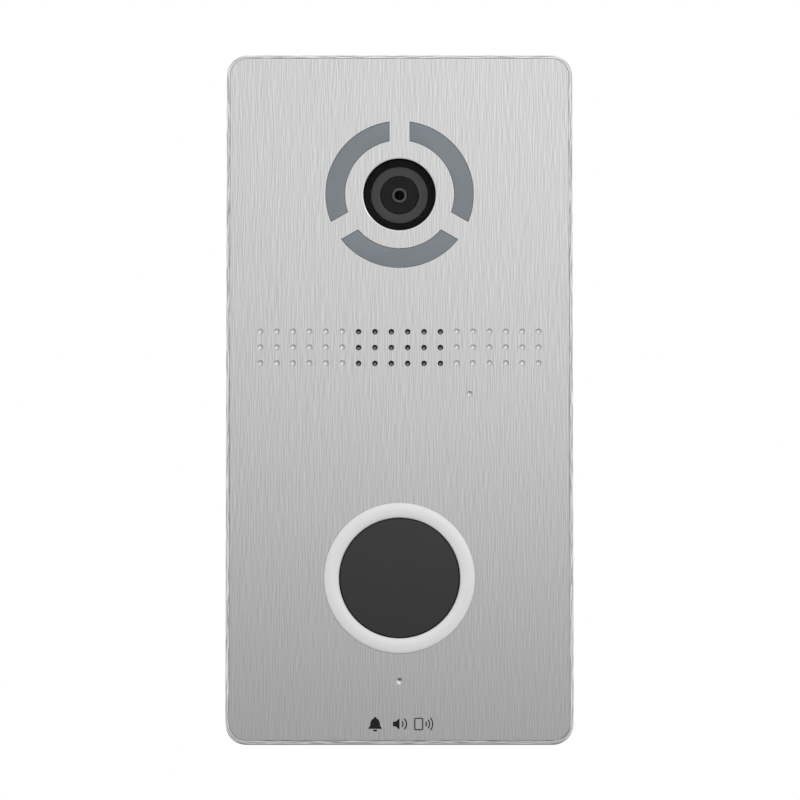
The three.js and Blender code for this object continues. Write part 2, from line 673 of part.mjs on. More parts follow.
function addSpeaker() {
  const speaker = station(0, SOUND.z);
  const [meshRadius, meshFront, meshBack] = [RECESS.radius - 0.3, RECESS.front + TOUCH, RECESS.front + 0.3];
  piece(speaker, 'speaker_mesh', disc(meshRadius, meshFront, meshBack, MEDIUM), 'steel');
  piece(speaker, 'speaker_gasket', speakerGasket(), 'foam');
  piece(speaker, 'speaker_frame', speakerFrame(), 'black_plastic');
  piece(speaker, 'speaker_cone', speakerCone(), 'paper_cone');
  piece(speaker, 'speaker_magnet', speakerMagnet(), 'steel');
  piece(speaker, 'speaker_bracket', speakerBracket(), 'steel');
  const bracketScrew = screw(...BRACKET_SCREW);
  for (const [name, side] of [['left', -1], ['right', 1]]) {
    const fastener = piece(speaker, `bracket_screw_${name}`, bracketScrew, 'screw_steel');
    fastener.position.set(side * BRACKET.screwX, BEHIND_PLATE + BRACKET.sheet + TOUCH, 0);
  }

  const route = [
    [SPEAKER.tab, 8.5, SOUND.z + SPEAKER.tab],
    [-9.8, 10.4, SOUND.z - 9.65],
    [-18, 13, 5.6],
    [-28.6, 15.6, 9.6],
    [-30, 17.8, 10.4],
    [-30, 19.7, 10.4],
  ];
  const curve = new THREE.CatmullRomCurve3(route.map((point) => new THREE.Vector3(...point)));
  piece(panel, 'speaker_lead', tube(curve, 0.9, 8, 12), 'lead_cover');

  const sensor = station(LIGHT_SENSOR.x, LIGHT_SENSOR.z);
  piece(sensor, 'light_sensor', lightSensor(), 'board_green');
}

/** A small board with the sensor's round body on the back of the plate. */
function lightSensor() {
  const [size, front, back, body] = [8, 0.3, 1.3, 1.6];
  return join([block(0, 0, size, size, front, back), disc(body, BEHIND_PLATE, front + 0.2, SMALL)]);
}

// ------------------------------------------------------------------ call button with card reader

/** The white ring: a low dome in front, a flange behind the plate and a guide for the cap. */
function buttonRing() {
  const { ringInner, ringOuter, flange } = BUTTON;
  const [domeSteps, domeEdge, domeHeight] = [5, PLATE.front - 0.1, 0.9];
  const [flangeFront, flangeBack, guide, back] = [-0.5, 0.9, 19.2, 2];
  const profile = [];
  for (let i = 0; i <= domeSteps; i += 1) {
    const t = i / domeSteps;
    const across = (1 - Math.cos(Math.PI * t)) / 2;
    const radius = ringInner + (ringOuter - ringInner) * across;
    profile.push([radius, domeEdge - domeHeight * Math.sin(Math.PI * t)]);
  }
  profile.push([ringOuter, flangeFront], [flange, flangeFront], [flange, flangeBack]);
  profile.push([guide, flangeBack], [guide, back], [ringInner, back]);
  return turned(profile, BROAD);
}

/** The black cap: a cup with a lip that stops it behind the ring, and a stem that works the switch. */
function buttonCap() {
  const [chamfer, wall, floor] = [0.4, 1, CAP.front + 1.6];
  const lipBack = CAP.lipFront + wall;
  const { cap } = BUTTON;
  const profile = [
    [0, CAP.front],
    [cap - chamfer, CAP.front],
    [cap, CAP.front + chamfer],
    [cap, CAP.lipFront],
    [CAP.lip, CAP.lipFront],
    [CAP.lip, lipBack],
    [cap - wall, lipBack],
    [cap - wall, floor],
    [CAP.stem, floor],
    [CAP.stem, CAP.back],
    [0, CAP.back],
  ];
  return turned(profile, BROAD);
}

/** The moulded carrier behind the button: pedestal for the antenna, stop, guide hole and rear skirt. */
function buttonBase() {
  const [front, floorFront, floorBack, back] = [1, 5.2, 7, 10.8];
  const [wallInner, wallOuter, skirtInner, skirtOuter] = [21.6, BUTTON.flange - 0.1, 18, 20];
  const [guide, pedestalInner, pedestalOuter, pedestalFront] = [3.2, 7.5, 14.5, 1.6];
  const profile = [
    [wallInner, front],
    [wallOuter, front],
    [wallOuter, floorBack],
    [skirtOuter, floorBack],
    [skirtOuter, back],
    [skirtInner, back],
    [skirtInner, floorBack],
    [guide, floorBack],
    [guide, floorFront],
    [pedestalInner, floorFront],
    [pedestalInner, pedestalFront],
    [pedestalOuter, pedestalFront],
    [pedestalOuter, floorFront],
    [wallInner, floorFront],
  ];
  return turned(profile, ROUND);
}

/** The reader's board, with the flat cable's connector soldered to its back. */
function buttonBoard() {
  const [radius, front, back] = [20.5, 10.85, 12.45];
  const [plugZ, plugBack] = [12, 14.1];
  const plug = block(0, plugZ, FLAT_PLUG.width, FLAT_PLUG.height, back - OVERLAP, plugBack);
  return join([disc(radius, front, back, ROUND), plug]);
}

function switchBody() {
  const [size, front, back, bore, boreEnd] = [8, 7.4, 10.8, 2.1, 10.2];
  return cut(block(0, 0, size, size, front, back), [disc(bore, front - 0.4, boreEnd, SMALL)]);
}

function addButton() {
  const button = station(0, BUTTON.z);
  piece(button, 'button_ring', buttonRing(), 'white_plastic');
  const [sealInner, sealOuter, sealBack] = [22, BUTTON.flange - 0.1, -0.55];
  piece(button, 'button_seal', ring(sealInner, sealOuter, BEHIND_PLATE, sealBack, ROUND), 'rubber');
  piece(button, 'button_cap', buttonCap(), 'black_gloss');
  const { radius, wire, front, back, turns } = BUTTON_SPRING;
  piece(button, 'button_spring', spring(radius, wire, front, back, turns), 'screw_steel');
  piece(button, 'button_base', buttonBase(), 'black_plastic');
  const [coilInner, coilOuter, coilFront, coilBack] = [7.8, 14.3, 0.9, 1.55];
  piece(button, 'reader_antenna', ring(coilInner, coilOuter, coilFront, coilBack, MEDIUM), 'copper');
  piece(button, 'button_board', buttonBoard(), 'board_green');
  piece(button, 'switch_body', switchBody(), 'black_plastic');
  const [plunger, plungerFront, plungerBack] = [1.75, 5.7, 8.8];
  piece(button, 'switch_plunger', disc(plunger, plungerFront, plungerBack, SMALL), 'white_plastic');
}

// ------------------------------------------------------------------ microphone

function microphoneBoot() {
  const inner = MICROPHONE.capsule + 0.15;
  const [floor, back] = [0.15, 3.6];
  const profile = [
    [MICROPHONE.hole + 0.1, BEHIND_PLATE],
    [MICROPHONE.boot, BEHIND_PLATE],
    [MICROPHONE.boot, back],
    [inner, back],
    [inner, floor],
    [MICROPHONE.hole + 0.1, floor],
  ];
  return turned(profile, MEDIUM);
}

function addMicrophone() {
  const microphone = station(0, MICROPHONE.z);
  piece(microphone, 'microphone_boot', microphoneBoot(), 'rubber');
  const [capsuleFront, capsuleBack] = [0.2, 2.9];
  piece(microphone, 'microphone', disc(MICROPHONE.capsule, capsuleFront, capsuleBack, MEDIUM), 'steel');
  const route = [[0, 3.1, 0], [0, 7.5, 0.2], [2.6, 12.5, 2.4], [5.8, 16.2, 5.5], [6, 18, 6], [6, 19.75, 6]];
  const curve = new THREE.CatmullRomCurve3(route.map((point) => new THREE.Vector3(...point)));
  piece(microphone, 'microphone_lead', tube(curve, 0.8, 8, 10), 'lead_cover');
}

// ------------------------------------------------------------------ main board and what is on it

/** The board with its connectors and taller parts soldered on, notched round the housing's columns. */
function mainBoard() {
  const { width, height, front } = BOARD;
  const solids = [block(0, 0, width, height, front, BOARD_BACK)];
  for (const z of [CAMERA_PLUG_Z, BUTTON_PLUG_Z]) {
    solids.push(block(0, z, FLAT_PLUG.width, FLAT_PLUG.height, front - FLAT_PLUG.depth, front + 0.5));
  }
  const from = BOARD_BACK - 0.5;
  for (const { x, z, radius, back } of CAPACITORS) solids.push(disc(radius, from, back, SMALL, x, z));
  for (const { x, z, size, back } of CHIPS) solids.push(block(x, z, size, size, from, back));
  const cutters = [];
  const [screwBore, notch] = [1.6, COLUMN.radius + 0.6];
  for (const side of [-1, 1]) {
    cutters.push(disc(screwBore, front - 1, BOARD_BACK + 1, SMALL, side * BOSS.x, BOSS.z));
    for (const end of [-1, 1]) {
      const [x, z] = [side * COLUMN.x, end * COLUMN.z];
      cutters.push(disc(notch, front - 1, BOARD_BACK + 1, SMALL, x, z));
    }
  }
  return cut(join(solids), cutters);
}

/** The folded tin can over the processor, open towards the board. */
function processorShield() {
  const { width, height, depth, sheet } = SHIELD;
  const back = BOARD.front - TOUCH;
  const inside = block(0, 0, width - 2 * sheet, height - 2 * sheet, back - depth + sheet, back + 1);
  return cut(block(0, 0, width, height, back - depth, back), [inside]);
}

/** The network socket: it opens to the rear, with the stepped notch for the plug's latch. */
function ethernetJack() {
  const [front, back] = [24, HOUSING.back + 1];
  const steps = [
    { z: 1, width: 11.9, height: 6.9 },
    { z: -3.2, width: 6.2, height: 2.4 },
    { z: -5, width: 3.2, height: 1.8 },
  ];
  const mouth = steps.map(({ z, width, height }) => block(0, z, width, height, front, back));
  return cut(block(0, 0, JACK.size, JACK.size, ON_BOARD, HOUSING.back), mouth);
}

/** The places of the terminal strip's ways, from its centre. */
const terminalPlaces = () =>
  Array.from({ length: TERMINAL.ways }, (_, i) => (i - (TERMINAL.ways - 1) / 2) * TERMINAL.pitch);

function terminalHeader() {
  const { width, height, back } = TERMINAL;
  const walls = 1.6;
  const floor = ON_BOARD + walls;
  const inside = block(0, 0, width - walls, height - walls, floor, back + 1);
  const shroud = cut(block(0, 0, width, height, ON_BOARD, back), [inside]);
  const [pin, pinEnd] = [0.8, 28];
  const pins = terminalPlaces().map((x) => block(x, 0, pin, pin, floor - 0.5, pinEnd));
  return join([shroud, ...pins]);
}

/** The pull-off plug, with a groove over the header's pins and one wire entry for each way. */
function terminalPlug() {
  const { width, height, back } = TERMINAL;
  const [front, rear] = [24.2, HOUSING.back + 1.4];
  const [grooveHeight, grooveEnd] = [1.6, 28.6];
  const [entry, entryFront] = [1.15, 31];
  const solids = [
    block(0, 0, width - 2, height - 2, front, back + 1),
    block(0, 0, width - 1.4, height - 0.4, back + SLIP, rear),
  ];
  const groove = block(0, 0, width - 3.8, grooveHeight, front - 1, grooveEnd);
  const entries = terminalPlaces().map((x) => disc(entry, entryFront, rear + 1, TINY, x, 0));
  return cut(join(solids), [groove, ...entries]);
}

function tamperBody() {
  const { body, bore, floor } = TAMPER;
  const back = TAMPER_COLLAR.front - 0.4;
  return cut(block(0, 0, body, body, ON_BOARD, back), [disc(bore, floor, back + 1, MEDIUM)]);
}

/** The pin that the wall box holds in: guide, collar against the housing and a rounded end. */
function tamperPlunger() {
  const { shaft, reach } = TAMPER;
  const { radius, front, back } = TAMPER_COLLAR;
  const [guide, guideFront] = [1.2, 28.5];
  const profile = [
    [0, guideFront],
    [guide, guideFront],
    [guide, front],
    [radius, front],
    [radius, back],
    [shaft, back],
    [shaft, reach - 0.7],
    [0.6 * shaft, reach],
    [0, reach],
  ];
  return turned(profile, SMALL);
}

function addElectronics() {
  piece(panel, 'main_board', mainBoard(), 'board_green');
  piece(station(SHIELD.x, SHIELD.z), 'processor_shield', processorShield(), 'steel');
  piece(station(JACK.x, JACK.z), 'ethernet_jack', ethernetJack(), 'steel');

  const terminal = station(TERMINAL.x, TERMINAL.z);
  piece(terminal, 'terminal_header', terminalHeader(), 'connector_plastic');
  piece(terminal, 'terminal_plug', terminalPlug(), 'connector_plastic');

  const relay = block(0, 0, RELAY.width, RELAY.height, ON_BOARD, RELAY.back);
  piece(station(RELAY.x, RELAY.z), 'lock_relay', relay, 'black_plastic');

  const tamper = station(TAMPER.x, TAMPER.z);
  piece(tamper, 'tamper_body', tamperBody(), 'black_plastic');
  piece(tamper, 'tamper_plunger', tamperPlunger(), 'white_plastic');
  const { radius, wire, gap, turns } = TAMPER_SPRING;
  const tamperSpring = spring(radius, wire, TAMPER.floor + gap, TAMPER_COLLAR.front - gap, turns);
  piece(tamper, 'tamper_spring', tamperSpring, 'screw_steel');

  const boardScrew = screw(...BOARD_SCREW);
  for (const [name, side] of [['left', -1], ['right', 1]]) {
    const fastener = piece(panel, `board_screw_${name}`, boardScrew, 'screw_steel');
    fastener.position.set(side * BOSS.x, BOARD.front - TOUCH, BOSS.z);
    fastener.rotation.x = Math.PI;
  }

  // each flat cable leaves a connector, crosses to the main board and enters the connector there
  const onMainBoard = BOARD.front - 0.9;
  const cameraRoute = [
    [15.9, CAMERA.z - 10.1],
    [15.9, CAMERA.z - 12.7],
    [17.5, CAMERA_PLUG_Z + 7.2],
    [onMainBoard, CAMERA_PLUG_Z + 4.6],
    [onMainBoard, CAMERA_PLUG_Z + 2.1],
  ];
  const buttonRoute = [
    [13.25, BUTTON.z + 14.1],
    [13.25, BUTTON.z + 16.8],
    [16.2, BUTTON.z + 20],
    [onMainBoard, BUTTON_PLUG_Z - 4.8],
    [onMainBoard, BUTTON_PLUG_Z - 2.1],
  ];
  piece(panel, 'camera_ribbon', ribbon(cameraRoute, 9, 0.3), 'flex_cable');
  piece(panel, 'button_ribbon', ribbon(buttonRoute, 9, 0.3), 'flex_cable');
}

addShell();
addCamera();
addSpeaker();
addButton();
addMicrophone();
addElectronics();

export default panel;
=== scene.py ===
"""The looks of a flush-mounted door intercom panel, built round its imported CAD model.

Metres, in the CAD model's own frame: +X right, +Y into the wall, +Z up.
"""

import json
import math

import bmesh
import bpy
from mathutils import Matrix, Vector


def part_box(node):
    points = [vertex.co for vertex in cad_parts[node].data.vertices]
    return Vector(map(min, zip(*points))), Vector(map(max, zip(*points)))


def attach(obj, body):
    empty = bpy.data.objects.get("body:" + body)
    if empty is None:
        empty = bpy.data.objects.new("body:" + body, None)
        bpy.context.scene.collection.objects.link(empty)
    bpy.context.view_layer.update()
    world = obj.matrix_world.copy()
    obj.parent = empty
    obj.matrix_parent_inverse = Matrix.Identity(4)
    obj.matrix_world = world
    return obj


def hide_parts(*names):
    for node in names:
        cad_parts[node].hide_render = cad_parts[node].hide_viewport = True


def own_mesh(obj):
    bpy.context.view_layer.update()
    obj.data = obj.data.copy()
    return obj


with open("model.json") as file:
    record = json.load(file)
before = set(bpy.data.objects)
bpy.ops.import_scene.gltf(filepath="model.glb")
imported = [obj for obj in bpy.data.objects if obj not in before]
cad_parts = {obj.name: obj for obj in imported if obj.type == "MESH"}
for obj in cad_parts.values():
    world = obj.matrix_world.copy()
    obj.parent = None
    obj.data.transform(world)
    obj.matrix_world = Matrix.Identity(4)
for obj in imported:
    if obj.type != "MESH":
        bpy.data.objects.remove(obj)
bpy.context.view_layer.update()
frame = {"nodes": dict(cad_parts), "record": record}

MM = 0.001
PANEL = "panel"
SIDES = ("left", "right")


# -------- measures taken from the frame


def centre(node):
    """The middle of a CAD node's box."""
    low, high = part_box(node)
    return (low + high) / 2


def radius(node):
    """Half of a round CAD node's width."""
    low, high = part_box(node)
    return (high.x - low.x) / 2


def depths(node):
    """Where a CAD node starts and ends along Y."""
    low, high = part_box(node)
    return low.y, high.y


plate_low, plate_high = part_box("front_plate")
FACE = plate_low.y
PLATE_BACK = plate_high.y
CAMERA = centre("camera_window")
SPEAKER = centre("speaker_frame")
BUTTON = centre("button_ring")
MICROPHONE = centre("microphone")
LIGHT_SENSOR = centre("light_sensor")


# -------- mesh helpers

SMOOTH_ANGLE = 32  # degrees; two faces that meet at more have a sharp edge between them
NEARLY_STRAIGHT = math.radians(178)
ON_AXIS = 1e-6  # a smaller radius is a point on the axis
SAME_POINT = 1e-7


def rounded(points, fillet, steps=4, closed=True):
    """A 2-D polyline with its corners turned into arcs; a third number in a point is its own radius."""
    made = []
    count = len(points)
    for i, point in enumerate(points):
        here = Vector(point[:2])
        size = point[2] if len(point) > 2 else fillet
        is_end = i in (0, count - 1) and not closed
        before = Vector(points[i - 1][:2]) - here
        after = Vector(points[(i + 1) % count][:2]) - here
        angle = before.angle(after, math.pi)
        if size <= 0 or is_end or angle > NEARLY_STRAIGHT:
            made.append(tuple(here))
            continue
        room = 0.49 * min(before.length, after.length)  # so that two arcs never meet
        cut = min(size / math.tan(angle / 2), room)
        size = cut * math.tan(angle / 2)
        before.normalize()
        after.normalize()
        middle = here + (before + after).normalized() * (size / math.sin(angle / 2))
        start = here + before * cut - middle
        end = here + after * cut - middle
        turn = start.angle_signed(end)
        for step in range(steps + 1):
            spin = -turn * step / steps
            x = start.x * math.cos(spin) - start.y * math.sin(spin)
            y = start.x * math.sin(spin) + start.y * math.cos(spin)
            made.append((middle.x + x, middle.y + y))
    return made


def circle(size, sides, x=0.0, z=0.0):
    """The points of a circle in X and Z."""
    turns = [2 * math.pi * i / sides for i in range(sides)]
    return [(x + size * math.cos(a), z + size * math.sin(a)) for a in turns]


def rectangle(width, height, corner, inset=0.0, steps=12, x=0.0, z=0.0):
    """A rectangle with round corners, moved inwards; the number of points doesn't depend on the inset."""
    points = []
    for quarter, (sign_x, sign_z) in enumerate(((1, 1), (-1, 1), (-1, -1), (1, -1))):
        middle_x = x + sign_x * (width / 2 - corner)
        middle_z = z + sign_z * (height / 2 - corner)
        size = max(corner - inset, 0.01 * MM)
        for step in range(steps + 1):
            angle = math.pi / 2 * (quarter + step / steps)
            points.append((middle_x + size * math.cos(angle), middle_z + size * math.sin(angle)))
    return points


def at_depth(outline, depth):
    """An outline in X and Z as 3-D points at one depth."""
    return [(x, depth, z) for x, z in outline]


def shade(piece, smooth_angle=SMOOTH_ANGLE):
    """Smooth shading, with sharp edges where two faces meet at more than the angle."""
    bm = bmesh.new()
    bm.from_mesh(piece.data)
    limit = math.radians(smooth_angle)
    for face in bm.faces:
        face.smooth = True
    for edge in bm.edges:
        edge.smooth = edge.calc_face_angle(0) < limit
    bm.to_mesh(piece.data)
    bm.free()


def add_to_scene(name, data):
    """A new object, in the scene."""
    made = bpy.data.objects.new(name, data)
    bpy.context.scene.collection.objects.link(made)
    return made


def mesh_object(name, bm, smooth_angle=SMOOTH_ANGLE):
    """A new object from a bmesh, its faces pointing out."""
    bmesh.ops.remove_doubles(bm, verts=bm.verts, dist=SAME_POINT)
    bmesh.ops.recalc_face_normals(bm, faces=bm.faces)
    mesh = bpy.data.meshes.new(name)
    bm.to_mesh(mesh)
    bm.free()
    piece = add_to_scene(name, mesh)
    shade(piece, smooth_angle)
    return piece


def lathe(bm, profile, x, z, sides):
    """Adds a shape turned about Y from (radius, depth) points that end on the axis or close on themselves."""
    rings = []
    for size, depth in profile:
        outline = [(x, z)] if size < ON_AXIS else circle(size, sides, x, z)
        rings.append([bm.verts.new(point) for point in at_depth(outline, depth)])
    pairs = list(zip(rings, rings[1:]))
    if len(rings[0]) > 1 and len(rings[-1]) > 1:
        pairs.append((rings[-1], rings[0]))
    for near, far in pairs:
        for i in range(sides):
            j = (i + 1) % sides
            corners = [near[i % len(near)], near[j % len(near)], far[j % len(far)], far[i % len(far)]]
            unique = list(dict.fromkeys(corners))
            if len(unique) > 2:
                bm.faces.new(unique)


def loft(bm, loops, closed=False):
    """Adds a skin through equally long loops of 3-D points, with end faces or closed on itself."""
    rings = [[bm.verts.new(point) for point in loop] for loop in loops]
    count = len(rings[0])
    pairs = list(zip(rings, rings[1:]))
    if closed:
        pairs.append((rings[-1], rings[0]))
    for near, far in pairs:
        for i in range(count):
            j = (i + 1) % count
            bm.faces.new((near[i], near[j], far[j], far[i]))
    if not closed:
        bm.faces.new(rings[0])
        bm.faces.new(list(reversed(rings[-1])))


def prism(bm, outline, near, far):
    """Adds an outline in X and Z made solid between two depths."""
    loft(bm, [at_depth(outline, near), at_depth(outline, far)])


def block(bm, low, high, soft, segments):
    """Adds a box between two corners, its edges rounded."""
    made = bmesh.ops.create_cube(bm, size=1)["verts"]
    for vert in made:
        for axis in range(3):
            vert.co[axis] = low[axis] if vert.co[axis] < 0 else high[axis]
    edges = list({edge for vert in made for edge in vert.link_edges})
    bmesh.ops.bevel(bm, geom=edges, offset=soft, segments=segments, profile=0.5, affect="EDGES")


def sweep(bm, path, size, sides=10):
    """Adds a round wire along a path of 3-D points, with flat ends."""
    loops = []
    side = Vector((0, 0, 0))
    for i, point in enumerate(path):
        ahead = Vector(path[min(i + 1, len(path) - 1)])
        behind = Vector(path[max(i - 1, 0)])
        along = (ahead - behind).normalized()
        if side.length == 0:
            side = along.orthogonal()
        side = (side - along * side.dot(along)).normalized()
        up = along.cross(side)
        turns = [2 * math.pi * k / sides for k in range(sides)]
        loops.append([Vector(point) + (side * math.cos(a) + up * math.sin(a)) * size for a in turns])
    loft(bm, loops)


def helix(coil, near, far, turns, x, z):
    """The centre line of a compression spring along Y, its end turns lying nearly flat."""
    steps_per_turn, dead_turns = 28, 0.9
    rise = 0.06  # of the length, over each end turn
    total = turns + 2 * dead_turns
    count = round(total * steps_per_turn)
    path = []
    for i in range(count + 1):
        turn = total * i / count
        share = min(max((turn - dead_turns) / turns, 0), 1)
        ends = min(turn / dead_turns, 1) + 1 - min((total - turn) / dead_turns, 1)
        depth = near + (far - near) * ((1 - 2 * rise) * share + rise * ends)
        angle = 2 * math.pi * turn
        path.append((x + coil * math.cos(angle), depth, z + coil * math.sin(angle)))
    return path


def solid(name, build, *details):
    """A new object made by one of the functions that add to a bmesh."""
    bm = bmesh.new()
    build(bm, *details)
    return mesh_object(name, bm)


def turned(name, profile, middle, sides):
    """A new object turned about the axis along Y through a point."""
    return solid(name, lathe, profile, middle.x, middle.z, sides)


def carve(piece, cutter, operation="DIFFERENCE", smooth_angle=SMOOTH_ANGLE):
    """Cuts one object with another, or joins them, and removes the second."""
    modifier = piece.modifiers.new("carve", "BOOLEAN")
    modifier.operation = operation
    modifier.solver = "EXACT"
    modifier.object = cutter
    bpy.context.view_layer.update()
    made = bpy.data.meshes.new_from_object(piece.evaluated_get(bpy.context.evaluated_depsgraph_get()))
    piece.modifiers.clear()
    piece.data = made
    bpy.data.objects.remove(cutter)
    shade(piece, smooth_angle)
    return piece


def place(piece, material, *stands_for, slot=None, body=PANEL):
    """Gives a finished piece its material and its body, and hides the CAD nodes that it stands for."""
    piece.data.materials.clear()
    piece.data.materials.append(MATERIALS[material])
    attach(piece, body)
    if stands_for:
        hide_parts(*stands_for)


# -------- materials

NOISE_LOW, NOISE_MIDDLE, NOISE_HIGH = 0.3, 0.5, 0.7
LINE_SHIFT = 0.7  # of a grain, from the noise to the noise that is taken off it
LINE_SHARE = 0.76  # of the fine lines in a brushed surface; the rest is longer streaks
BROAD_GRAIN = 70  # slow drifts of colour, in grains to the metre
GLOSS_DRIFT = 0.15


def add_node(tree, kind, inputs, **settings):
    """A new node whose inputs take constants or other nodes' outputs."""
    made = tree.nodes.new(kind)
    for name, value in settings.items():
        setattr(made, name, value)
    for socket, value in inputs.items():
        if isinstance(value, bpy.types.NodeSocket):
            tree.links.new(value, made.inputs[socket])
        else:
            made.inputs[socket].default_value = value
    return made


class Finish:
    """A node material built round one Principled shader, with short calls for what feeds it."""

    def __init__(self, name, color, roughness, metallic=0.0, **constants):
        self.material = bpy.data.materials.new(name)
        self.material.use_nodes = True
        self.tree = self.material.node_tree
        self.shader = self.tree.nodes["Principled BSDF"]
        self.shader.inputs["Base Color"].default_value = (*color, 1)
        self.shader.inputs["Roughness"].default_value = roughness
        self.shader.inputs["Metallic"].default_value = metallic
        for socket, value in constants.items():
            self.shader.inputs[socket.replace("_", " ")].default_value = value
        self.position = self.node("ShaderNodeTexCoord", {}).outputs["Object"]

    def node(self, kind, inputs, **settings):
        return add_node(self.tree, kind, inputs, **settings)

    def noise(self, per_metre, detail=3.0, roughness=0.6, shift=(0, 0, 0)):
        """Noise with that many grains to the metre along each axis, moved by a part of a grain."""
        inputs = {"Vector": self.position, "Scale": per_metre, "Location": shift}
        mapped = self.node("ShaderNodeMapping", inputs).outputs[0]
        inputs = {"Vector": mapped, "Scale": 1.0, "Detail": detail, "Roughness": roughness}
        return self.node("ShaderNodeTexNoise", inputs).outputs["Fac"]

    def lines(self, per_metre):
        """Noise less the same noise beside it, which leaves fine lines and no broad patches."""
        aside = [LINE_SHIFT if part == max(per_metre) else 0.0 for part in per_metre]
        inputs = {0: self.noise(per_metre, 0.0), 1: self.noise(per_metre, 0.0, shift=aside)}
        difference = self.node("ShaderNodeMath", inputs, operation="SUBTRACT").outputs[0]
        return self.node("ShaderNodeMath", {0: difference, 1: NOISE_MIDDLE}, operation="ADD").outputs[0]

    def sum(self, first, second, share):
        """Two heights in one, with share of the first and the rest of the second."""
        inputs = {0: share, 2: second, 3: first}
        return self.node("ShaderNodeMix", inputs, data_type="FLOAT").outputs[0]

    def span(self, value, low, high):
        """Noise, which lies round one half, as numbers from low to high."""
        inputs = {0: value, "From Min": NOISE_LOW, "From Max": NOISE_HIGH, "To Min": low, "To Max": high}
        return self.node("ShaderNodeMapRange", inputs).outputs[0]

    def blend(self, share, first, second):
        """A colour between two others."""
        return self.node("ShaderNodeMix", {0: share, 6: first, 7: second}, data_type="RGBA").outputs[2]

    def feed(self, socket, value):
        """Links an output to one of the shader's inputs."""
        self.tree.links.new(value, self.shader.inputs[socket])

    def relief(self, height, depth, strength=0.5):
        """Bump of that depth in metres."""
        inputs = {"Height": height, "Strength": strength, "Distance": depth}
        self.feed("Normal", self.node("ShaderNodeBump", inputs).outputs[0])


def grey(level):
    """A colour without a hue."""
    return (level, level, level)


def scaled(color, factor):
    """The same colour, lighter or darker."""
    return (*(min(1.0, part * factor) for part in color), 1)


def brushed(name, color, contrast, per_metre, long_per_metre, relief, metallic=1.0):
    """Brushed metal: fine lines over broader, softer streaks."""
    made = Finish(name, color, 0.4, metallic)
    streak = made.noise(long_per_metre, 1.0, 0.5)
    lines = made.sum(made.lines(per_metre), streak, LINE_SHARE)
    low, high = scaled(color, 1 - contrast), scaled(color, 1 + contrast)
    made.feed("Base Color", made.blend(made.span(lines, 0, 1), low, high))
    made.feed("Roughness", made.span(lines, 0.43, 0.37))
    made.relief(lines, relief, 0.3)
    return made.material


def moulded(name, color, roughness, metallic=0.0, grain=2500, depth=0.006, drift=0.05, **constants):
    """A plain surface: fine grain in relief, and small drifts of colour and gloss."""
    made = Finish(name, color, roughness, metallic, **constants)
    fine = made.noise((grain, grain, grain))
    broad = made.noise((BROAD_GRAIN, BROAD_GRAIN, BROAD_GRAIN))
    low, high = scaled(color, 1 - drift), scaled(color, 1 + drift)
    made.feed("Base Color", made.blend(made.span(broad, 0, 1), low, high))
    dullest = min(1.0, roughness * (1 + GLOSS_DRIFT))
    made.feed("Roughness", made.span(fine, roughness * (1 - GLOSS_DRIFT), dullest))
    made.relief(fine, depth * MM)
    return made.material


def circuit_board():
    """Green solder mask over faint copper tracks."""
    color = (0.012, 0.085, 0.045)
    made = Finish("board_green", color, 0.35)
    tracks = made.noise((260, 60, 900), 1.0)
    crossing = made.noise((900, 60, 260), 1.0)
    lines = made.sum(tracks, crossing, 0.5)
    made.feed("Base Color", made.blend(made.span(lines, 0, 1), scaled(color, 0.8), scaled(color, 1.8)))
    made.relief(lines, 0.02 * MM)
    return made.material


def woven_mesh():
    """Fine woven wire, over and under."""
    color = grey(0.6)
    wires_per_metre, dents_per_metre = 3300.0, 400
    made = Finish("woven_mesh", color, 0.45, 0.5)
    inputs = {"Vector": made.position, "Scale": wires_per_metre}
    wires = made.node("ShaderNodeTexChecker", inputs).outputs["Fac"]
    broad = made.noise((dents_per_metre, dents_per_metre, dents_per_metre))
    weave = made.sum(wires, broad, 0.7)
    made.feed("Base Color", made.blend(weave, scaled(color, 0.5), scaled(color, 1.3)))
    made.relief(weave, 0.05 * MM)
    return made.material


LOW_GLOSS = {"Specular_IOR_Level": 0.2}
FAINT_GLOSS = {"Specular_IOR_Level": 0.1}
CLEAR = {"IOR": 1.45, "Alpha": 0.06, **FAINT_GLOSS}

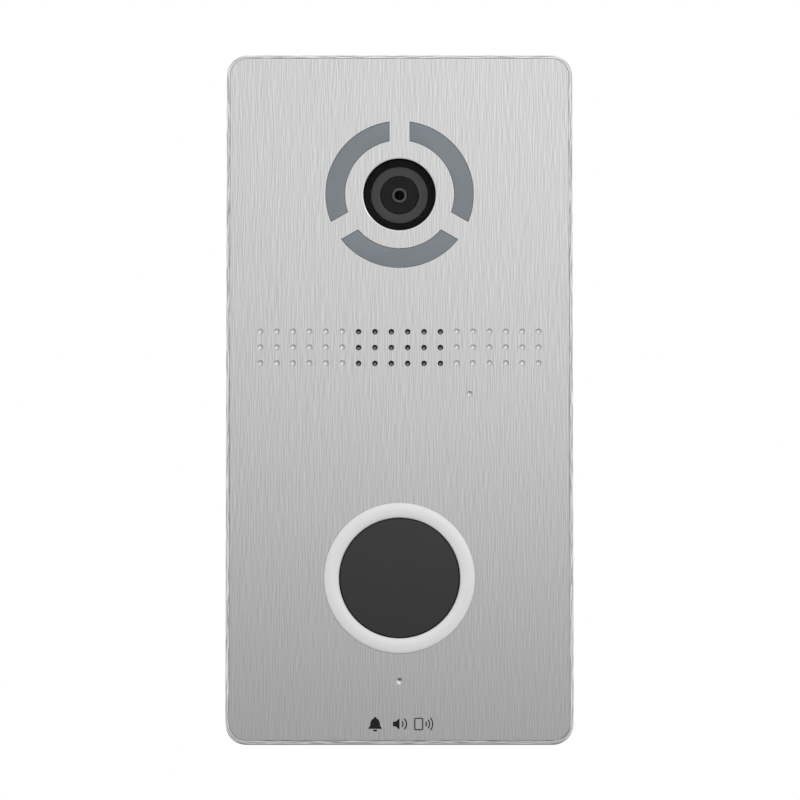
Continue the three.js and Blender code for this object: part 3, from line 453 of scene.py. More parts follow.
BRUSHED = {
    "brushed_aluminium": dict(
        color=grey(0.607),
        contrast=0.11,
        per_metre=(2700, 0, 150),
        long_per_metre=(1600, 0, 50),
        relief=0.003 * MM,
    ),
    "milled_edge": dict(
        color=grey(0.76),
        contrast=0.36,
        per_metre=(250, 2600, 250),
        long_per_metre=(90, 1500, 90),
        relief=0.02 * MM,
        metallic=0.5,
    ),
}
MOULDED = {  # colour, roughness, metallic and the rest
    # painted shade: a dark grey, not the aluminium's own colour, on all the plate's sides, for the shade on
    # the side under the plate
    "painted_shade_side": (grey(0.18), 0.7, 0, dict(depth=0.01, **LOW_GLOSS)),
    # painted shade: near black on the walls of the groove round the face and of the sound holes, where shade
    # falls
    "painted_shade_recess": (grey(0.05), 0.6, 0, dict(**LOW_GLOSS)),
    # painted highlight: a lighter copy of the aluminium on the lips round the camera window and the light
    # slots
    "painted_highlight_lip": (grey(0.95), 0.3, 1, dict(depth=0.001, drift=0.01)),
    "white_plastic": (grey(0.97), 0.3, 0, dict(depth=0.003, drift=0.01)),
    "black_gloss": (grey(0.046), 0.45, 0, dict(drift=0.03, **LOW_GLOSS)),
    "light_guide": ((0.26, 0.29, 0.315), 0.5, 0, dict(drift=0.03, **LOW_GLOSS)),
    # the camera mask's own black print; the plate's window wall and seat take it too, as painted shade
    "mask_print": (grey(0.0075), 0.6, 0, dict(**FAINT_GLOSS)),
    "hood_plastic": (grey(0.091), 0.6, 0, dict(**LOW_GLOSS)),
    "lens_metal": (grey(0.0103), 0.5, 0, dict(**LOW_GLOSS)),
    "bezel_metal": (grey(0.113), 0.5, 0, dict(**LOW_GLOSS)),
    "lens_glass": ((0.001, 0.001, 0.0015), 0.1, 0, dict(depth=0.0005, Specular_IOR_Level=0.04)),
    "smoked_window": (grey(0.004), 0.05, 0, dict(depth=0.0005, **CLEAR)),
    "print_ink": (grey(0.014), 0.6, 0, dict(**LOW_GLOSS)),
    "housing_plastic": ((0.030, 0.031, 0.033), 0.55, 0, dict(grain=1500, depth=0.05)),
    "black_plastic": ((0.025, 0.025, 0.027), 0.5, 0, dict(grain=1800, depth=0.03)),
    "rubber": (grey(0.018), 0.75, 0, dict(grain=1200, depth=0.04)),
    "foam": ((0.035, 0.035, 0.036), 0.9, 0, dict(grain=1800, depth=0.25, drift=0.2)),
    "zinc_steel": ((0.56, 0.57, 0.58), 0.35, 1, dict(grain=900, drift=0.1)),
    "screw_steel": ((0.48, 0.48, 0.49), 0.3, 1, dict(grain=1600, drift=0.08)),
    "copper": ((0.72, 0.36, 0.18), 0.35, 1, dict(grain=1600, drift=0.1)),
    "gold": ((0.85, 0.60, 0.25), 0.25, 1, dict(grain=1600, drift=0.05)),
    "connector_plastic": ((0.02, 0.16, 0.05), 0.45, 0, dict(grain=1800, depth=0.02)),
    "paper_cone": ((0.02, 0.018, 0.016), 0.9, 0, dict(grain=1200, depth=0.1, drift=0.15)),
    "flex_cable": ((0.42, 0.17, 0.03), 0.35, 0, dict(grain=900, drift=0.2)),
    "lead_cover": ((0.25, 0.012, 0.01), 0.45, 0, dict(grain=1500, depth=0.01)),
}
MATERIALS = {
    **{name: brushed(name, **look) for name, look in BRUSHED.items()},
    **{name: moulded(name, *look, **more) for name, (*look, more) in MOULDED.items()},
    "board_green": circuit_board(),
    "speaker_mesh": woven_mesh(),
}


def finish_cad_nodes():
    """The pieces whose CAD shape is right as it is take the finish that the record names for them."""
    own = {"speaker_mesh": "speaker_mesh"}
    for entry in frame["record"]["subparts"]:
        name = entry["node"]
        mesh = frame["nodes"][name].data
        mesh.materials.clear()
        mesh.materials.append(MATERIALS[own.get(name, entry["material_slot"])])


# -------- camera, floor and light

CAMERA_DISTANCE = 2.5
CAMERA_BELOW = math.radians(6.905)
CAMERA_LENS, CAMERA_SENSOR = 389.5, 36  # millimetres
CAMERA_SHIFT = (0.0006, -0.0002)  # of the picture's width
FLOOR = -1.4  # the panel hangs as high as a door station does
FLOOR_HALF = 12.0
FRONT_LIGHT = 0.22  # the glow's strength from straight ahead, and from the sides
SIDE_LIGHT = 1.08
SOFTBOX_SIZE = (0.6, 0.4)
SOFTBOX_WATTS = 0.79
SOFTBOX_AT, SOFTBOX_TARGET = (0.10, -0.45, 0.20), (0, 0, 0.03)


def aim(thing, location, target):
    """Puts a camera or a light somewhere, looking at a point."""
    thing.location = location
    thing.rotation_euler = (Vector(target) - Vector(location)).to_track_quat("-Z", "Y").to_euler()


def make_camera():
    data = bpy.data.cameras.new("view")
    data.lens = CAMERA_LENS
    data.sensor_width = CAMERA_SENSOR
    data.shift_x, data.shift_y = CAMERA_SHIFT
    data.clip_start = 0.1
    data.clip_end = 50
    view = add_to_scene("view", data)
    behind = Vector((0, -math.cos(CAMERA_BELOW), -math.sin(CAMERA_BELOW)))
    aim(view, behind * CAMERA_DISTANCE, (0, 0, 0))
    bpy.context.scene.camera = view


def make_floor():
    bm = bmesh.new()
    corners = ((-1, -1), (1, -1), (1, 1), (-1, 1))
    bm.faces.new([bm.verts.new((x * FLOOR_HALF, y * FLOOR_HALF, FLOOR)) for x, y in corners])
    floor = mesh_object("floor", bm)
    floor.data.materials.append(moulded("floor", grey(0.76), 0.8, grain=40, drift=0.02))


def make_softbox():
    """One soft light in front, above and a little to the right."""
    data = bpy.data.lights.new("softbox", "AREA")
    data.shape = "RECTANGLE"
    data.size, data.size_y = SOFTBOX_SIZE
    data.energy = SOFTBOX_WATTS
    light = add_to_scene("softbox", data)
    aim(light, SOFTBOX_AT, SOFTBOX_TARGET)
    light.visible_camera = False


def make_world():
    """White where the camera sees it; as light, an even glow that is stronger from the sides."""
    world = bpy.data.worlds.new("studio")
    world.use_nodes = True
    tree = world.node_tree
    seen = tree.nodes["Background"]
    seen.inputs["Color"].default_value = (1, 1, 1, 1)
    ray = add_node(tree, "ShaderNodeTexCoord", {}).outputs["Generated"]
    ahead = add_node(tree, "ShaderNodeSeparateXYZ", {0: ray}).outputs["Y"]
    squared = add_node(tree, "ShaderNodeMath", {0: ahead, 1: ahead}, operation="MULTIPLY").outputs[0]
    inputs = {"Value": squared, "To Min": SIDE_LIGHT, "To Max": FRONT_LIGHT}
    level = add_node(tree, "ShaderNodeMapRange", inputs).outputs[0]
    glow = add_node(tree, "ShaderNodeBackground", {"Strength": level}).outputs[0]
    by_camera = add_node(tree, "ShaderNodeLightPath", {}).outputs["Is Camera Ray"]
    mix = add_node(tree, "ShaderNodeMixShader", {0: by_camera, 1: glow, 2: seen.outputs[0]})
    tree.links.new(mix.outputs[0], tree.nodes["World Output"].inputs["Surface"])
    bpy.context.scene.world = world


def make_studio():
    make_camera()
    make_floor()
    make_softbox()
    make_world()
    bpy.context.scene.view_settings.view_transform = "Standard"


# -------- front plate

PLATE_CORNER = 6 * MM
CHAMFER = 0.9 * MM  # round the plate's front edge
GROOVE_WIDTH, GROOVE_DEPTH = 0.11 * MM, 0.2 * MM  # between the face and its chamfer
WINDOW_OPENING = radius("camera_window") + 0.22 * MM
WINDOW_SEAT = FACE + 2 * MM  # where the camera window rests
WINDOW_LEDGE = 9 * MM
BRIGHT_LIP = 0.34 * MM  # the lip round the camera window, which takes the painted highlight
SLOT_LIP, SOUND_LIP, BUTTON_LIP = 0.12 * MM, 0.1 * MM, 0.02 * MM
SOUND_RADIUS = 0.75 * MM
SOUND_THROAT = 0.42 * MM  # where an open sound hole meets the mesh
SOUND_HOLLOW = (0.9 * MM, 0.34 * MM)  # radius and depth, as in the next one
MICROPHONE_HOLLOW = (1.05 * MM, 0.42 * MM)
MICROPHONE_PINHOLE, SENSOR_PINHOLE = 0.32 * MM, 0.15 * MM
MESH_FRONT = depths("speaker_mesh")[0] - 0.05 * MM
SOUND_PITCH_X, SOUND_PITCH_Z = 4.72 * MM, 4.6 * MM
SOUND_COLUMNS, SOUND_ROWS, OPEN_COLUMNS = 18, 3, 6
RECESS_RADIUS = 16.3 * MM
LIGHT_ARCS = 3
LIGHT_INNER, LIGHT_OUTER, LIGHT_GAP = 15.75 * MM, 21.45 * MM, 5.8 * MM
BUTTON_OPENING = 21.8 * MM
HOLLOW_LEAN = 0.62  # how far above the middle the deepest point lies, as a share of the radius
HOLLOW_LEAN_RIGHT = HOLLOW_LEAN / 8
PAST = 1 * MM  # how far a cutter reaches past the face that it opens on
# The bounds between the finishes: distances from the outline, from the middle of an opening or along Y.
SIDE_ZONE = 0.02 * MM
CHAMFER_ZONE = CHAMFER + 0.03 * MM
GROOVE_ZONE = CHAMFER + GROOVE_WIDTH + 0.04 * MM
WINDOW_ZONE = radius("camera_window") + 0.8 * MM
LIGHT_ZONE = LIGHT_OUTER + 0.3 * MM
BUTTON_ZONE = BUTTON_OPENING + 0.2 * MM
SOUND_ZONE = 7 * MM
BELOW_LIPS = FACE + 0.5 * MM
BACK_ZONE = PLATE_BACK - 0.5 * MM
# How much of a face's normal lies along Y, from a wall that goes straight in to the plate's face.
WALL, STEEP, SLOPE, LEVEL, FACE_LEVEL = 0.1, 0.3, 0.5, 0.99, 0.999


def plate_blank():
    """The plate without its openings: a groove inside its chamfered edge, and an eased back edge."""
    width = plate_high.x - plate_low.x
    height = plate_high.z - plate_low.z
    floor, taper = FACE + GROOVE_DEPTH, 0.01 * MM
    groove = CHAMFER + 0.05 * MM
    chamfer_front, chamfer_inset = FACE + 0.03 * MM, CHAMFER - 0.02 * MM
    back_edge = 0.2 * MM
    profile = [
        (groove + GROOVE_WIDTH, FACE),
        (groove - taper + GROOVE_WIDTH, floor),
        (groove + taper, floor),
        (groove, chamfer_front),
        (chamfer_inset, chamfer_front),
        (0, FACE + CHAMFER),
        (0, PLATE_BACK - back_edge),
        (back_edge, PLATE_BACK),
    ]
    size = (width, height, PLATE_CORNER)
    return solid("plate", loft, [at_depth(rectangle(*size, inset, 16), depth) for inset, depth in profile])


def round_opening(bm, x, z, sides, mouth, wall):
    """Adds a cutter through the plate: its radius before the face, then (radius, depth) points."""
    ends = [(wall[-1][0], PLATE_BACK + PAST), (0, PLATE_BACK + PAST)]
    lathe(bm, [(0, FACE - PAST), (mouth, FACE - PAST), *wall, *ends], x, z, sides)


def flared_bore(bm, x, z, sides, size, flare, end, inner):
    """Adds a cutter for a bore from the (radius, depth) points of its inner end, chamfered where it opens."""
    outer = [(size, end - flare), (size + flare + PAST, end + PAST), (0, end + PAST)]
    lathe(bm, [*inner, *outer], x, z, sides)


def hollow(bm, size, depth, x, z, pinhole=0.0):
    """Adds the cutter for a punched hollow, deepest above its middle, with a pinhole there if it has one."""
    curve = (size**2 + depth**2) / (2 * depth)
    last = max(pinhole, 0.02 * MM)
    steps, sides = 7, 28
    loops = [at_depth(circle(size, sides, x, z), FACE - PAST)]
    for step in range(steps + 1):
        reach = size - (size - last) * step / steps
        drop = math.sqrt(curve**2 - reach**2) - (curve - depth)
        travel = size - reach
        ring = circle(reach, sides, x + HOLLOW_LEAN_RIGHT * travel, z + HOLLOW_LEAN * travel)
        loops.append(at_depth(ring, FACE + drop))
    if pinhole:
        loops.append(at_depth(ring, PLATE_BACK + PAST))
    loft(bm, loops)


def arc_outline(which, spread, steps=40):
    """One light slot's outline grown by spread: two arcs whose ends run beside the gap."""
    inner, outer, half_gap = LIGHT_INNER - spread, LIGHT_OUTER + spread, LIGHT_GAP / 2 - spread
    turn = 2 * math.pi / LIGHT_ARCS
    start = math.pi / 2 + turn * which
    points = []
    for size, order in ((outer, range(steps + 1)), (inner, range(steps, -1, -1))):
        lean = math.asin(half_gap / size)
        for step in order:
            angle = start + lean + (turn - 2 * lean) * step / steps
            points.append((CAMERA.x + size * math.cos(angle), CAMERA.z + size * math.sin(angle)))
    return points


def sound_places():
    """The centre of each sound hole, and whether it is open."""
    for column in range(SOUND_COLUMNS):
        across = column - (SOUND_COLUMNS - 1) / 2
        for row in range(SOUND_ROWS):
            up = row - (SOUND_ROWS - 1) / 2
            x = SPEAKER.x + across * SOUND_PITCH_X
            yield x, SPEAKER.z + up * SOUND_PITCH_Z, abs(across) < OPEN_COLUMNS / 2


def plate_openings():
    """Everything that is cut out of the plate, as one mesh."""
    bm = bmesh.new()
    size = WINDOW_OPENING
    wall = [(size, FACE + BRIGHT_LIP / 2), (size, WINDOW_SEAT), (WINDOW_LEDGE, WINDOW_SEAT)]
    round_opening(bm, CAMERA.x, CAMERA.z, 128, size + BRIGHT_LIP + 2 * PAST, wall)
    wall = [(BUTTON_OPENING, FACE + BUTTON_LIP)]
    round_opening(bm, BUTTON.x, BUTTON.z, 160, BUTTON_OPENING + BUTTON_LIP + PAST, wall)
    for which in range(LIGHT_ARCS):
        lip = SLOT_LIP + 2 * PAST
        steps = [(FACE - PAST, lip), (FACE + SLOT_LIP / 2, 0), (PLATE_BACK + PAST, 0)]
        loft(bm, [at_depth(arc_outline(which, spread), depth) for depth, spread in steps])
    mouth = SOUND_RADIUS + SOUND_LIP + PAST
    wall = [(SOUND_RADIUS, FACE + SOUND_LIP), (SOUND_THROAT, MESH_FRONT)]
    for x, z, is_open in sound_places():
        if is_open:
            round_opening(bm, x, z, 28, mouth, wall)
        else:
            hollow(bm, *SOUND_HOLLOW, x, z)
    hollow(bm, *SOUND_HOLLOW, LIGHT_SENSOR.x, LIGHT_SENSOR.z, SENSOR_PINHOLE)
    hollow(bm, *MICROPHONE_HOLLOW, MICROPHONE.x, MICROPHONE.z, MICROPHONE_PINHOLE)
    return mesh_object("plate_openings", bm)


def speaker_recess():
    """The cutter for the flat recess behind the sound holes, which holds the mesh."""
    profile = [(0, MESH_FRONT), (RECESS_RADIUS, MESH_FRONT), (RECESS_RADIUS, 0), (0, 0)]
    return turned("speaker_recess", profile, SPEAKER, 96)


def from_border(point):
    """How far a point of the plate lies inside its outline."""
    x = abs(point.x) - (plate_high.x - PLATE_CORNER)
    z = abs(point.z) - (plate_high.z - PLATE_CORNER)
    if x > 0 and z > 0:
        return PLATE_CORNER - math.hypot(x, z)
    return PLATE_CORNER - max(x, z)


def edge_finish(face):
    """Which finish a face of the plate has, by where it is and which way it faces."""
    level = abs(face.normal.y)
    border = from_border(face.center)
    from_camera = math.hypot(face.center.x - CAMERA.x, face.center.z - CAMERA.z)
    from_button = math.hypot(face.center.x - BUTTON.x, face.center.z - BUTTON.z)
    if face.center.y > BACK_ZONE or from_button < BUTTON_ZONE:
        return "brushed_aluminium"
    # painted shade: the plate's sides take a dark grey
    if border < SIDE_ZONE:
        return "painted_shade_side"
    if border < CHAMFER_ZONE:
        return "milled_edge"
    # painted shade in the groove between the face and its chamfer
    if border < GROOVE_ZONE:
        return "painted_shade_recess"
    # painted shade: the window's wall and the seat behind it take the black print, for the shade in the gap
    # round the window
    if from_camera < WINDOW_ZONE and (level < WALL or face.center.y > BELOW_LIPS):
        return "mask_print"
    # painted highlight on the lips round the camera window and the light slots
    if from_camera < LIGHT_ZONE and SLOPE < level < LEVEL:
        return "painted_highlight_lip"
    # painted shade on the walls of the sound holes
    if abs(face.center.z - SPEAKER.z) < SOUND_ZONE and level < STEEP:
        return "painted_shade_recess"
    return "brushed_aluminium"


def finish_plate(plate):
    """Gives the edge its own finish, paints shade on the plate's sides, the groove, the holes' walls and the
    window's wall and seat, and paints a highlight on the lips round the window and the slots.
    """
    names = ["brushed_aluminium", "milled_edge", "painted_shade_side", "painted_highlight_lip", "painted_shade_recess", "mask_print"]
    for name in names[1:]:
        plate.data.materials.append(MATERIALS[name])
    for face in plate.data.polygons:
        face.material_index = names.index(edge_finish(face))
        face.use_smooth = abs(face.normal.y) < FACE_LEVEL  # so that a hollow's shading ends at its rim


def make_plate():
    plate = carve(plate_blank(), plate_openings())
    carve(plate, speaker_recess(), smooth_angle=20)
    place(plate, "brushed_aluminium", "front_plate")
    finish_plate(plate)


# -------- camera window and lens

MASK_BORE = 8.2 * MM
BEZEL_BORE = 1.45 * MM
BEHIND_PLATE = PLATE_BACK + 0.05 * MM  # the front of a flange that lies against the plate's back


def flat_ring(name, node, inner, material, soft, sides):
    """A flat ring round the lens's axis, as wide and as deep as its CAD node."""
    near, far = depths(node)
    outer = radius(node)
    profile = rounded([(inner, near), (outer, near), (outer, far), (inner, far)], soft)
    place(turned(name, profile, CAMERA, sides), material, node)


def make_window():
    near, far = depths("camera_window")
    size = radius("camera_window")
    profile = rounded([(0, near), (size, near), (size, far), (0, far)], 0.05 * MM, closed=False)
    place(turned("window_glass", profile, CAMERA, 128), "smoked_window", "camera_window")
    flat_ring("window_mask", "camera_mask", MASK_BORE, "mask_print", 0, 128)


def make_hood():
    near, far = depths("lens_hood")
    bore, outer, flange, sheet = 5.6 * MM, 8.75 * MM, radius("lens_hood"), 1 * MM
    profile = [
        (bore, near),
        (outer, near),
        (outer, BEHIND_PLATE),
        (flange, BEHIND_PLATE),
        (flange, far),
        (outer - sheet, far),
        (outer - sheet, near + sheet),
        (bore, near + sheet),
    ]
    place(turned("hood", rounded(profile, 0.1 * MM), CAMERA, 128), "hood_plastic", "lens_hood")


def make_lens():
    """The threaded barrel, the ring that holds its first element, and that element."""
    near, far = depths("lens_barrel")
    rim, thread, bezel_seat, edge = 5.5 * MM, 5.9 * MM, 2.25 * MM, 0.12 * MM
    thread_start, pitch, ridge = near + 5.6 * MM, 0.5 * MM, 0.22 * MM
    throat_start, throat_end = near + 1.65 * MM, near + 3.15 * MM
    throat, rear_bore = 1.2 * MM, 3 * MM
    profile = [(bezel_seat + edge, near), (rim - edge, near), (rim, near + edge), (rim, thread_start)]
    for turn in range(int((far - thread_start) / pitch)):
        profile.append((thread - ridge, thread_start + pitch * (turn + 0.1)))
        profile.append((thread, thread_start + pitch * (turn + 0.6)))
    profile += [
        (thread - ridge, far),
        (rear_bore, far),
        (rear_bore, throat_end),
        (throat, throat_end),
        (throat, throat_start),
        (bezel_seat, throat_start),
        (bezel_seat, near + edge),
    ]
    place(turned("barrel", profile, CAMERA, 96), "lens_metal", "lens_barrel")
    flat_ring("bezel", "lens_bezel", BEZEL_BORE, "bezel_metal", 0.06 * MM, 96)

    near, far = depths("lens_glass")
    size, dome = radius("lens_glass"), 0.3 * MM
    steps = 8
    profile = [(size * step / steps, near + dome * (step / steps) ** 2) for step in range(steps + 1)]
    profile += [(size, far), (0, far)]
    place(turned("front_element", profile, CAMERA, 64), "lens_glass", "lens_glass")


# -------- light diffuser


def make_diffuser():
    """One moulding: a ring behind the plate, three soft-edged ribs that fill the slots, and a rim."""
    near, far = depths("light_diffuser")
    outer = radius("light_diffuser")
    rim_inner, inner = LIGHT_OUTER + 0.25 * MM, LIGHT_INNER - 1.1 * MM
    sheet_back = BEHIND_PLATE + 1.4 * MM
    profile = [
        (inner, BEHIND_PLATE),
        (outer, BEHIND_PLATE),
        (outer, far),
        (rim_inner, far),
        (rim_inner, sheet_back),
        (inner, sheet_back),
    ]
    diffuser = turned("diffuser", profile, CAMERA, 160)
    bm = bmesh.new()
    fit, soft = -0.11 * MM, 0.08 * MM
    inside = BEHIND_PLATE + 0.5 * MM
    steps = [(near, fit - soft), (near + 0.3 * soft, fit - 0.3 * soft), (near + soft, fit), (inside, fit)]
    for which in range(LIGHT_ARCS):
        loft(bm, [at_depth(arc_outline(which, spread), depth) for depth, spread in steps])
    carve(diffuser, mesh_object("ribs", bm), "UNION")
    place(diffuser, "light_guide", "light_diffuser")


# -------- call button


def make_ring():
    """The white ring: a low dome in front, a flange behind the plate and a guide for the cap."""
    far = depths("button_ring")[1]
    inner, outer, flange, guide = 17.4 * MM, 21.76 * MM, 23.5 * MM, 19.2 * MM
    edge, height = FACE - 0.02 * MM, 0.95 * MM
    flange_front, flange_back = PLATE_BACK + 0.5 * MM, PLATE_BACK + 1.9 * MM
    steps = 28
    profile = []
    for step in range(steps + 1):
        share = step / steps
        across = (1 - math.cos(math.pi * share)) / 2
        profile.append((inner + (outer - inner) * across, edge - height * math.sin(math.pi * share)))
    profile += [
        (outer, flange_front),
        (flange, flange_front),
        (flange, flange_back),
        (guide, flange_back),
        (guide, far),
        (inner, far),
    ]
    place(turned("ring", profile, BUTTON, 160), "white_plastic", "button_ring")


def make_cap():
    """The black cap: a cup with a lip behind the ring, and a stem that works the switch."""
    near, far = depths("button_cap")
    size, lip, wall, floor, stem = 17.1 * MM, 19 * MM, 1 * MM, 1.6 * MM, 2.4 * MM
    lip_front = near + 7.95 * MM
    profile = [
        (0, near),
        (size, near, 0.35 * MM),
        (size, lip_front),
        (lip, lip_front),
        (lip, lip_front + wall),
        (size - wall, lip_front + wall),
        (size - wall, near + floor),
        (stem, near + floor),
        (stem, far),
        (0, far),
    ]
    cap = turned("cap", rounded(profile, 0.1 * MM, closed=False), BUTTON, 160)
    place(cap, "black_gloss", "button_cap", body="call_button")


def make_spring(name, node, coil, wire, turns):
    """A compression spring as long as its CAD node."""
    middle = centre(node)
    near, far = depths(node)
    bm = bmesh.new()
    sweep(bm, helix(coil, near + wire, far - wire, turns, middle.x, middle.z), wire)
    spring = mesh_object(name, bm, 60)
    place(spring, "screw_steel", node)
    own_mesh(spring)


def make_springs():
    make_spring("cap_spring", "button_spring", 4.3 * MM, 0.4 * MM, 4)
    make_spring("pin_spring", "tamper_spring", 2.35 * MM, 0.28 * MM, 5)


# -------- printed symbols

SYMBOLS_Z = -94.3 * MM
BELL_X, SOUND_X, CARD_X = -7 * MM, 0, 6.6 * MM
INK = 0.03 * MM


def ink(bm, outline):
    """Adds a printed area: an outline as a film that just stands out of the plate."""
    prism(bm, outline, FACE - INK, FACE + INK)


def ink_arc(bm, x, z, size, width, start, end, steps=20):
    """Adds a printed stroke along an arc, with the angles in degrees."""
    outline = []
    for reach, order in ((size + width / 2, range(steps + 1)), (size - width / 2, range(steps, -1, -1))):
        for step in order:
            angle = math.radians(start + (end - start) * step / steps)
            outline.append((x + reach * math.cos(angle), z + reach * math.sin(angle)))
    ink(bm, outline)


def ink_bell(bm, x, z):
    """Adds a bell with its clapper."""
    half = [(0.3, 2.0), (0.35, 1.65), (1.05, 1.2), (1.35, 0.4), (1.45, -0.6), (1.95, -1.15), (1.95, -1.4)]
    outline = [(px * MM, pz * MM) for px, pz in half]
    outline += [(-px, pz) for px, pz in reversed(outline)]
    ink(bm, [(x + px, z + pz) for px, pz in rounded(outline, 0.4 * MM)])
    width, height, clapper_z = 0.62 * MM, 0.55 * MM, z - 1.62 * MM
    steps = 15
    turns = [math.pi * (1 + step / steps) for step in range(steps + 1)]
    ink(bm, [(x + width * math.cos(a), clapper_z + height * math.sin(a)) for a in turns])


def ink_sound(bm, x, z):
    """Adds a loudspeaker with two sound waves."""
    outline = [(-1.9, -0.7), (-1.1, -0.7), (0, -1.7), (0, 1.7), (-1.1, 0.7), (-1.9, 0.7)]
    ink(bm, rounded([(x + px * MM, z + pz * MM) for px, pz in outline], 0.15 * MM))
    for size in (1.0, 2.0):
        ink_arc(bm, x, z, size * MM, 0.36 * MM, -48, 48)


def ink_card(bm, x, z):
    """Adds a card outline with three reader waves beside it."""
    front, back, line = FACE - INK, FACE + INK, 0.32 * MM
    card = (2.6 * MM, 3.6 * MM, 0.45 * MM)
    steps = [(front, 0), (back, 0), (back, line), (front, line)]
    loops = [at_depth(rectangle(*card, inset, 6, x - 1.1 * MM, z), depth) for depth, inset in steps]
    loft(bm, loops, closed=True)
    for size in (1.0, 1.9, 2.8):
        ink_arc(bm, x + 0.1 * MM, z, size * MM, 0.34 * MM, -40, 40)


def make_symbols():
    """A row of generic symbols at the foot of the plate: a bell, a loudspeaker and a card reader."""
    bm = bmesh.new()
    ink_bell(bm, BELL_X, SYMBOLS_Z)
    ink_sound(bm, SOUND_X, SYMBOLS_Z)
    ink_card(bm, CARD_X, SYMBOLS_Z)
    place(mesh_object("printed_symbols", bm), "print_ink", slot="mask_print")


# -------- gasket and rear housing

HOUSING_WALL = 2 * MM
HOUSING_FRONT, HOUSING_BACK = depths("rear_housing")
LABEL = (54 * MM, 30 * MM, 2 * MM)  # the sunk field for a label: width, height and corner
LABEL_Z, LABEL_DEPTH = -4 * MM, 0.35 * MM
SCREW_NAMES = ("upper_left", "upper_right", "lower_left", "lower_right")


def make_gasket():
    """The foam frame that the plate presses against the wall."""
    low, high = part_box("wall_gasket")
    width, height = high.x - low.x, high.z - low.z
    side, end, corner, soft = 3 * MM, 6 * MM, 5 * MM, 0.2 * MM
    hole = (width - 2 * side, height - 2 * end, corner - 2 * MM)
    edge = [(low.y, 0), (high.y - soft, 0), (high.y - 0.3 * soft, 0.3 * soft), (high.y, soft)]
    loops = [at_depth(rectangle(width, height, corner, inset), depth) for depth, inset in edge]
    loops += [at_depth(rectangle(*hole, -inset), depth) for depth, inset in reversed(edge)]
    place(solid("gasket", loft, loops, True), "foam", "wall_gasket")


def housing_shell():
    """The tray, with a softened back edge, a parting line round its side and a hollow inside."""
    low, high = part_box("rear_housing")
    width, height, corner = high.x - low.x, high.z - low.z, 5 * MM
    soft, line, front_edge = 1.6 * MM, 0.15 * MM, 0.3 * MM
    parting = low.y + 12 * MM
    profile = [
        (front_edge, low.y),
        (0, low.y + front_edge),
        (0, parting - line),
        (line, parting),
        (0, parting + line),
    ]
    steps = 6
    for step in range(steps + 1):
        angle = math.pi / 2 * step / steps
        profile.append((soft * (1 - math.cos(angle)), high.y - soft * (1 - math.sin(angle))))
    loops = [at_depth(rectangle(width, height, corner, inset), depth) for inset, depth in profile]
    inside = rectangle(width, height, corner, HOUSING_WALL)
    hollow_space = solid("inside", prism, inside, low.y - PAST, high.y - HOUSING_WALL)
    return carve(solid("housing", loft, loops), hollow_space)


def housing_columns():
    """The pillars that the long screws and the board's screws go through."""
    pillar, boss, board_gap = 4.2 * MM, 3.4 * MM, 3.3 * MM
    rear = HOUSING_BACK - HOUSING_WALL / 2
    bm = bmesh.new()
    for name in SCREW_NAMES:
        screw = centre("housing_screw_" + name)
        prism(bm, circle(pillar, 48, screw.x, screw.z), HOUSING_FRONT, rear)
    for name in SIDES:
        screw = centre("board_screw_" + name)
        prism(bm, circle(boss, 48, screw.x, screw.z), depths("board_screw_" + name)[0] + board_gap, rear)
    return mesh_object("columns", bm)


def window_cutter(bm, node, spread, corner):
    """Adds a cutter through the housing's back round a connector, with a chamfer at the outside."""
    low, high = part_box(node)
    middle = centre(node)
    size = (high.x - low.x, high.z - low.z, corner)
    chamfer = 0.4 * MM
    steps = [
        (HOUSING_BACK - HOUSING_WALL - PAST, -spread),
        (HOUSING_BACK - chamfer, -spread),
        (HOUSING_BACK + PAST, -spread - chamfer - PAST),
    ]
    loft(bm, [at_depth(rectangle(*size, inset, 6, middle.x, middle.z), depth) for depth, inset in steps])


def screw_holes(bm):
    """Adds the cutters for the long screws, whose heads are sunk, and for the board's screws."""
    bore, counterbore, seat = 1.7 * MM, 3.1 * MM, HOUSING_BACK - 2.1 * MM
    inner = [(0, HOUSING_FRONT - PAST), (bore, HOUSING_FRONT - PAST), (bore, seat), (counterbore, seat)]
    for name in SCREW_NAMES:
        screw = centre("housing_screw_" + name)
        flared_bore(bm, screw.x, screw.z, 48, counterbore, 0.25 * MM, HOUSING_BACK, inner)
    pilot, board, spare = 1.3 * MM, 3 * MM, 0.3 * MM
    for name in SIDES:
        screw = centre("board_screw_" + name)
        near, far = depths("board_screw_" + name)
        prism(bm, circle(pilot, 32, screw.x, screw.z), near + board, far + spare)


def housing_cutters():
    """Everything that is cut out of the housing's back, as one mesh."""
    bm = bmesh.new()
    window_cutter(bm, "ethernet_jack", 0.1 * MM, 0.4 * MM)
    window_cutter(bm, "terminal_plug", 0.7 * MM, 0.6 * MM)
    pin, hole, start = centre("tamper_plunger"), 1.95 * MM, HOUSING_BACK - 4 * MM
    flared_bore(bm, pin.x, pin.z, 40, hole, 0.5 * MM, HOUSING_BACK, [(0, start), (hole, start)])
    screw_holes(bm)
    floor = HOUSING_BACK - LABEL_DEPTH
    steps = [(floor, 0), (floor + PAST, -PAST)]
    loft(bm, [at_depth(rectangle(*LABEL, inset, 8, 0, LABEL_Z), depth) for depth, inset in steps])
    return mesh_object("housing_cutters", bm)


def hook_screw_bores():
    """Cutters through the housing's top wall and the bracket for the bracket's two screws."""
    bore, low, high = 1.45 * MM, plate_high.z - 18 * MM, plate_high.z - 9 * MM
    bm = bmesh.new()
    for name in SIDES:
        screw = centre("hook_screw_" + name)
        outline = circle(bore, 32, screw.x, screw.y)
        loft(bm, [[(x, y, z) for x, y in outline] for z in (low, high)])
    return mesh_object("hook_screw_bores", bm)


def make_housing():
    housing = carve(housing_shell(), housing_columns(), "UNION")
    carve(housing, housing_cutters())
    carve(housing, hook_screw_bores())
    place(housing, "housing_plastic", "rear_housing")


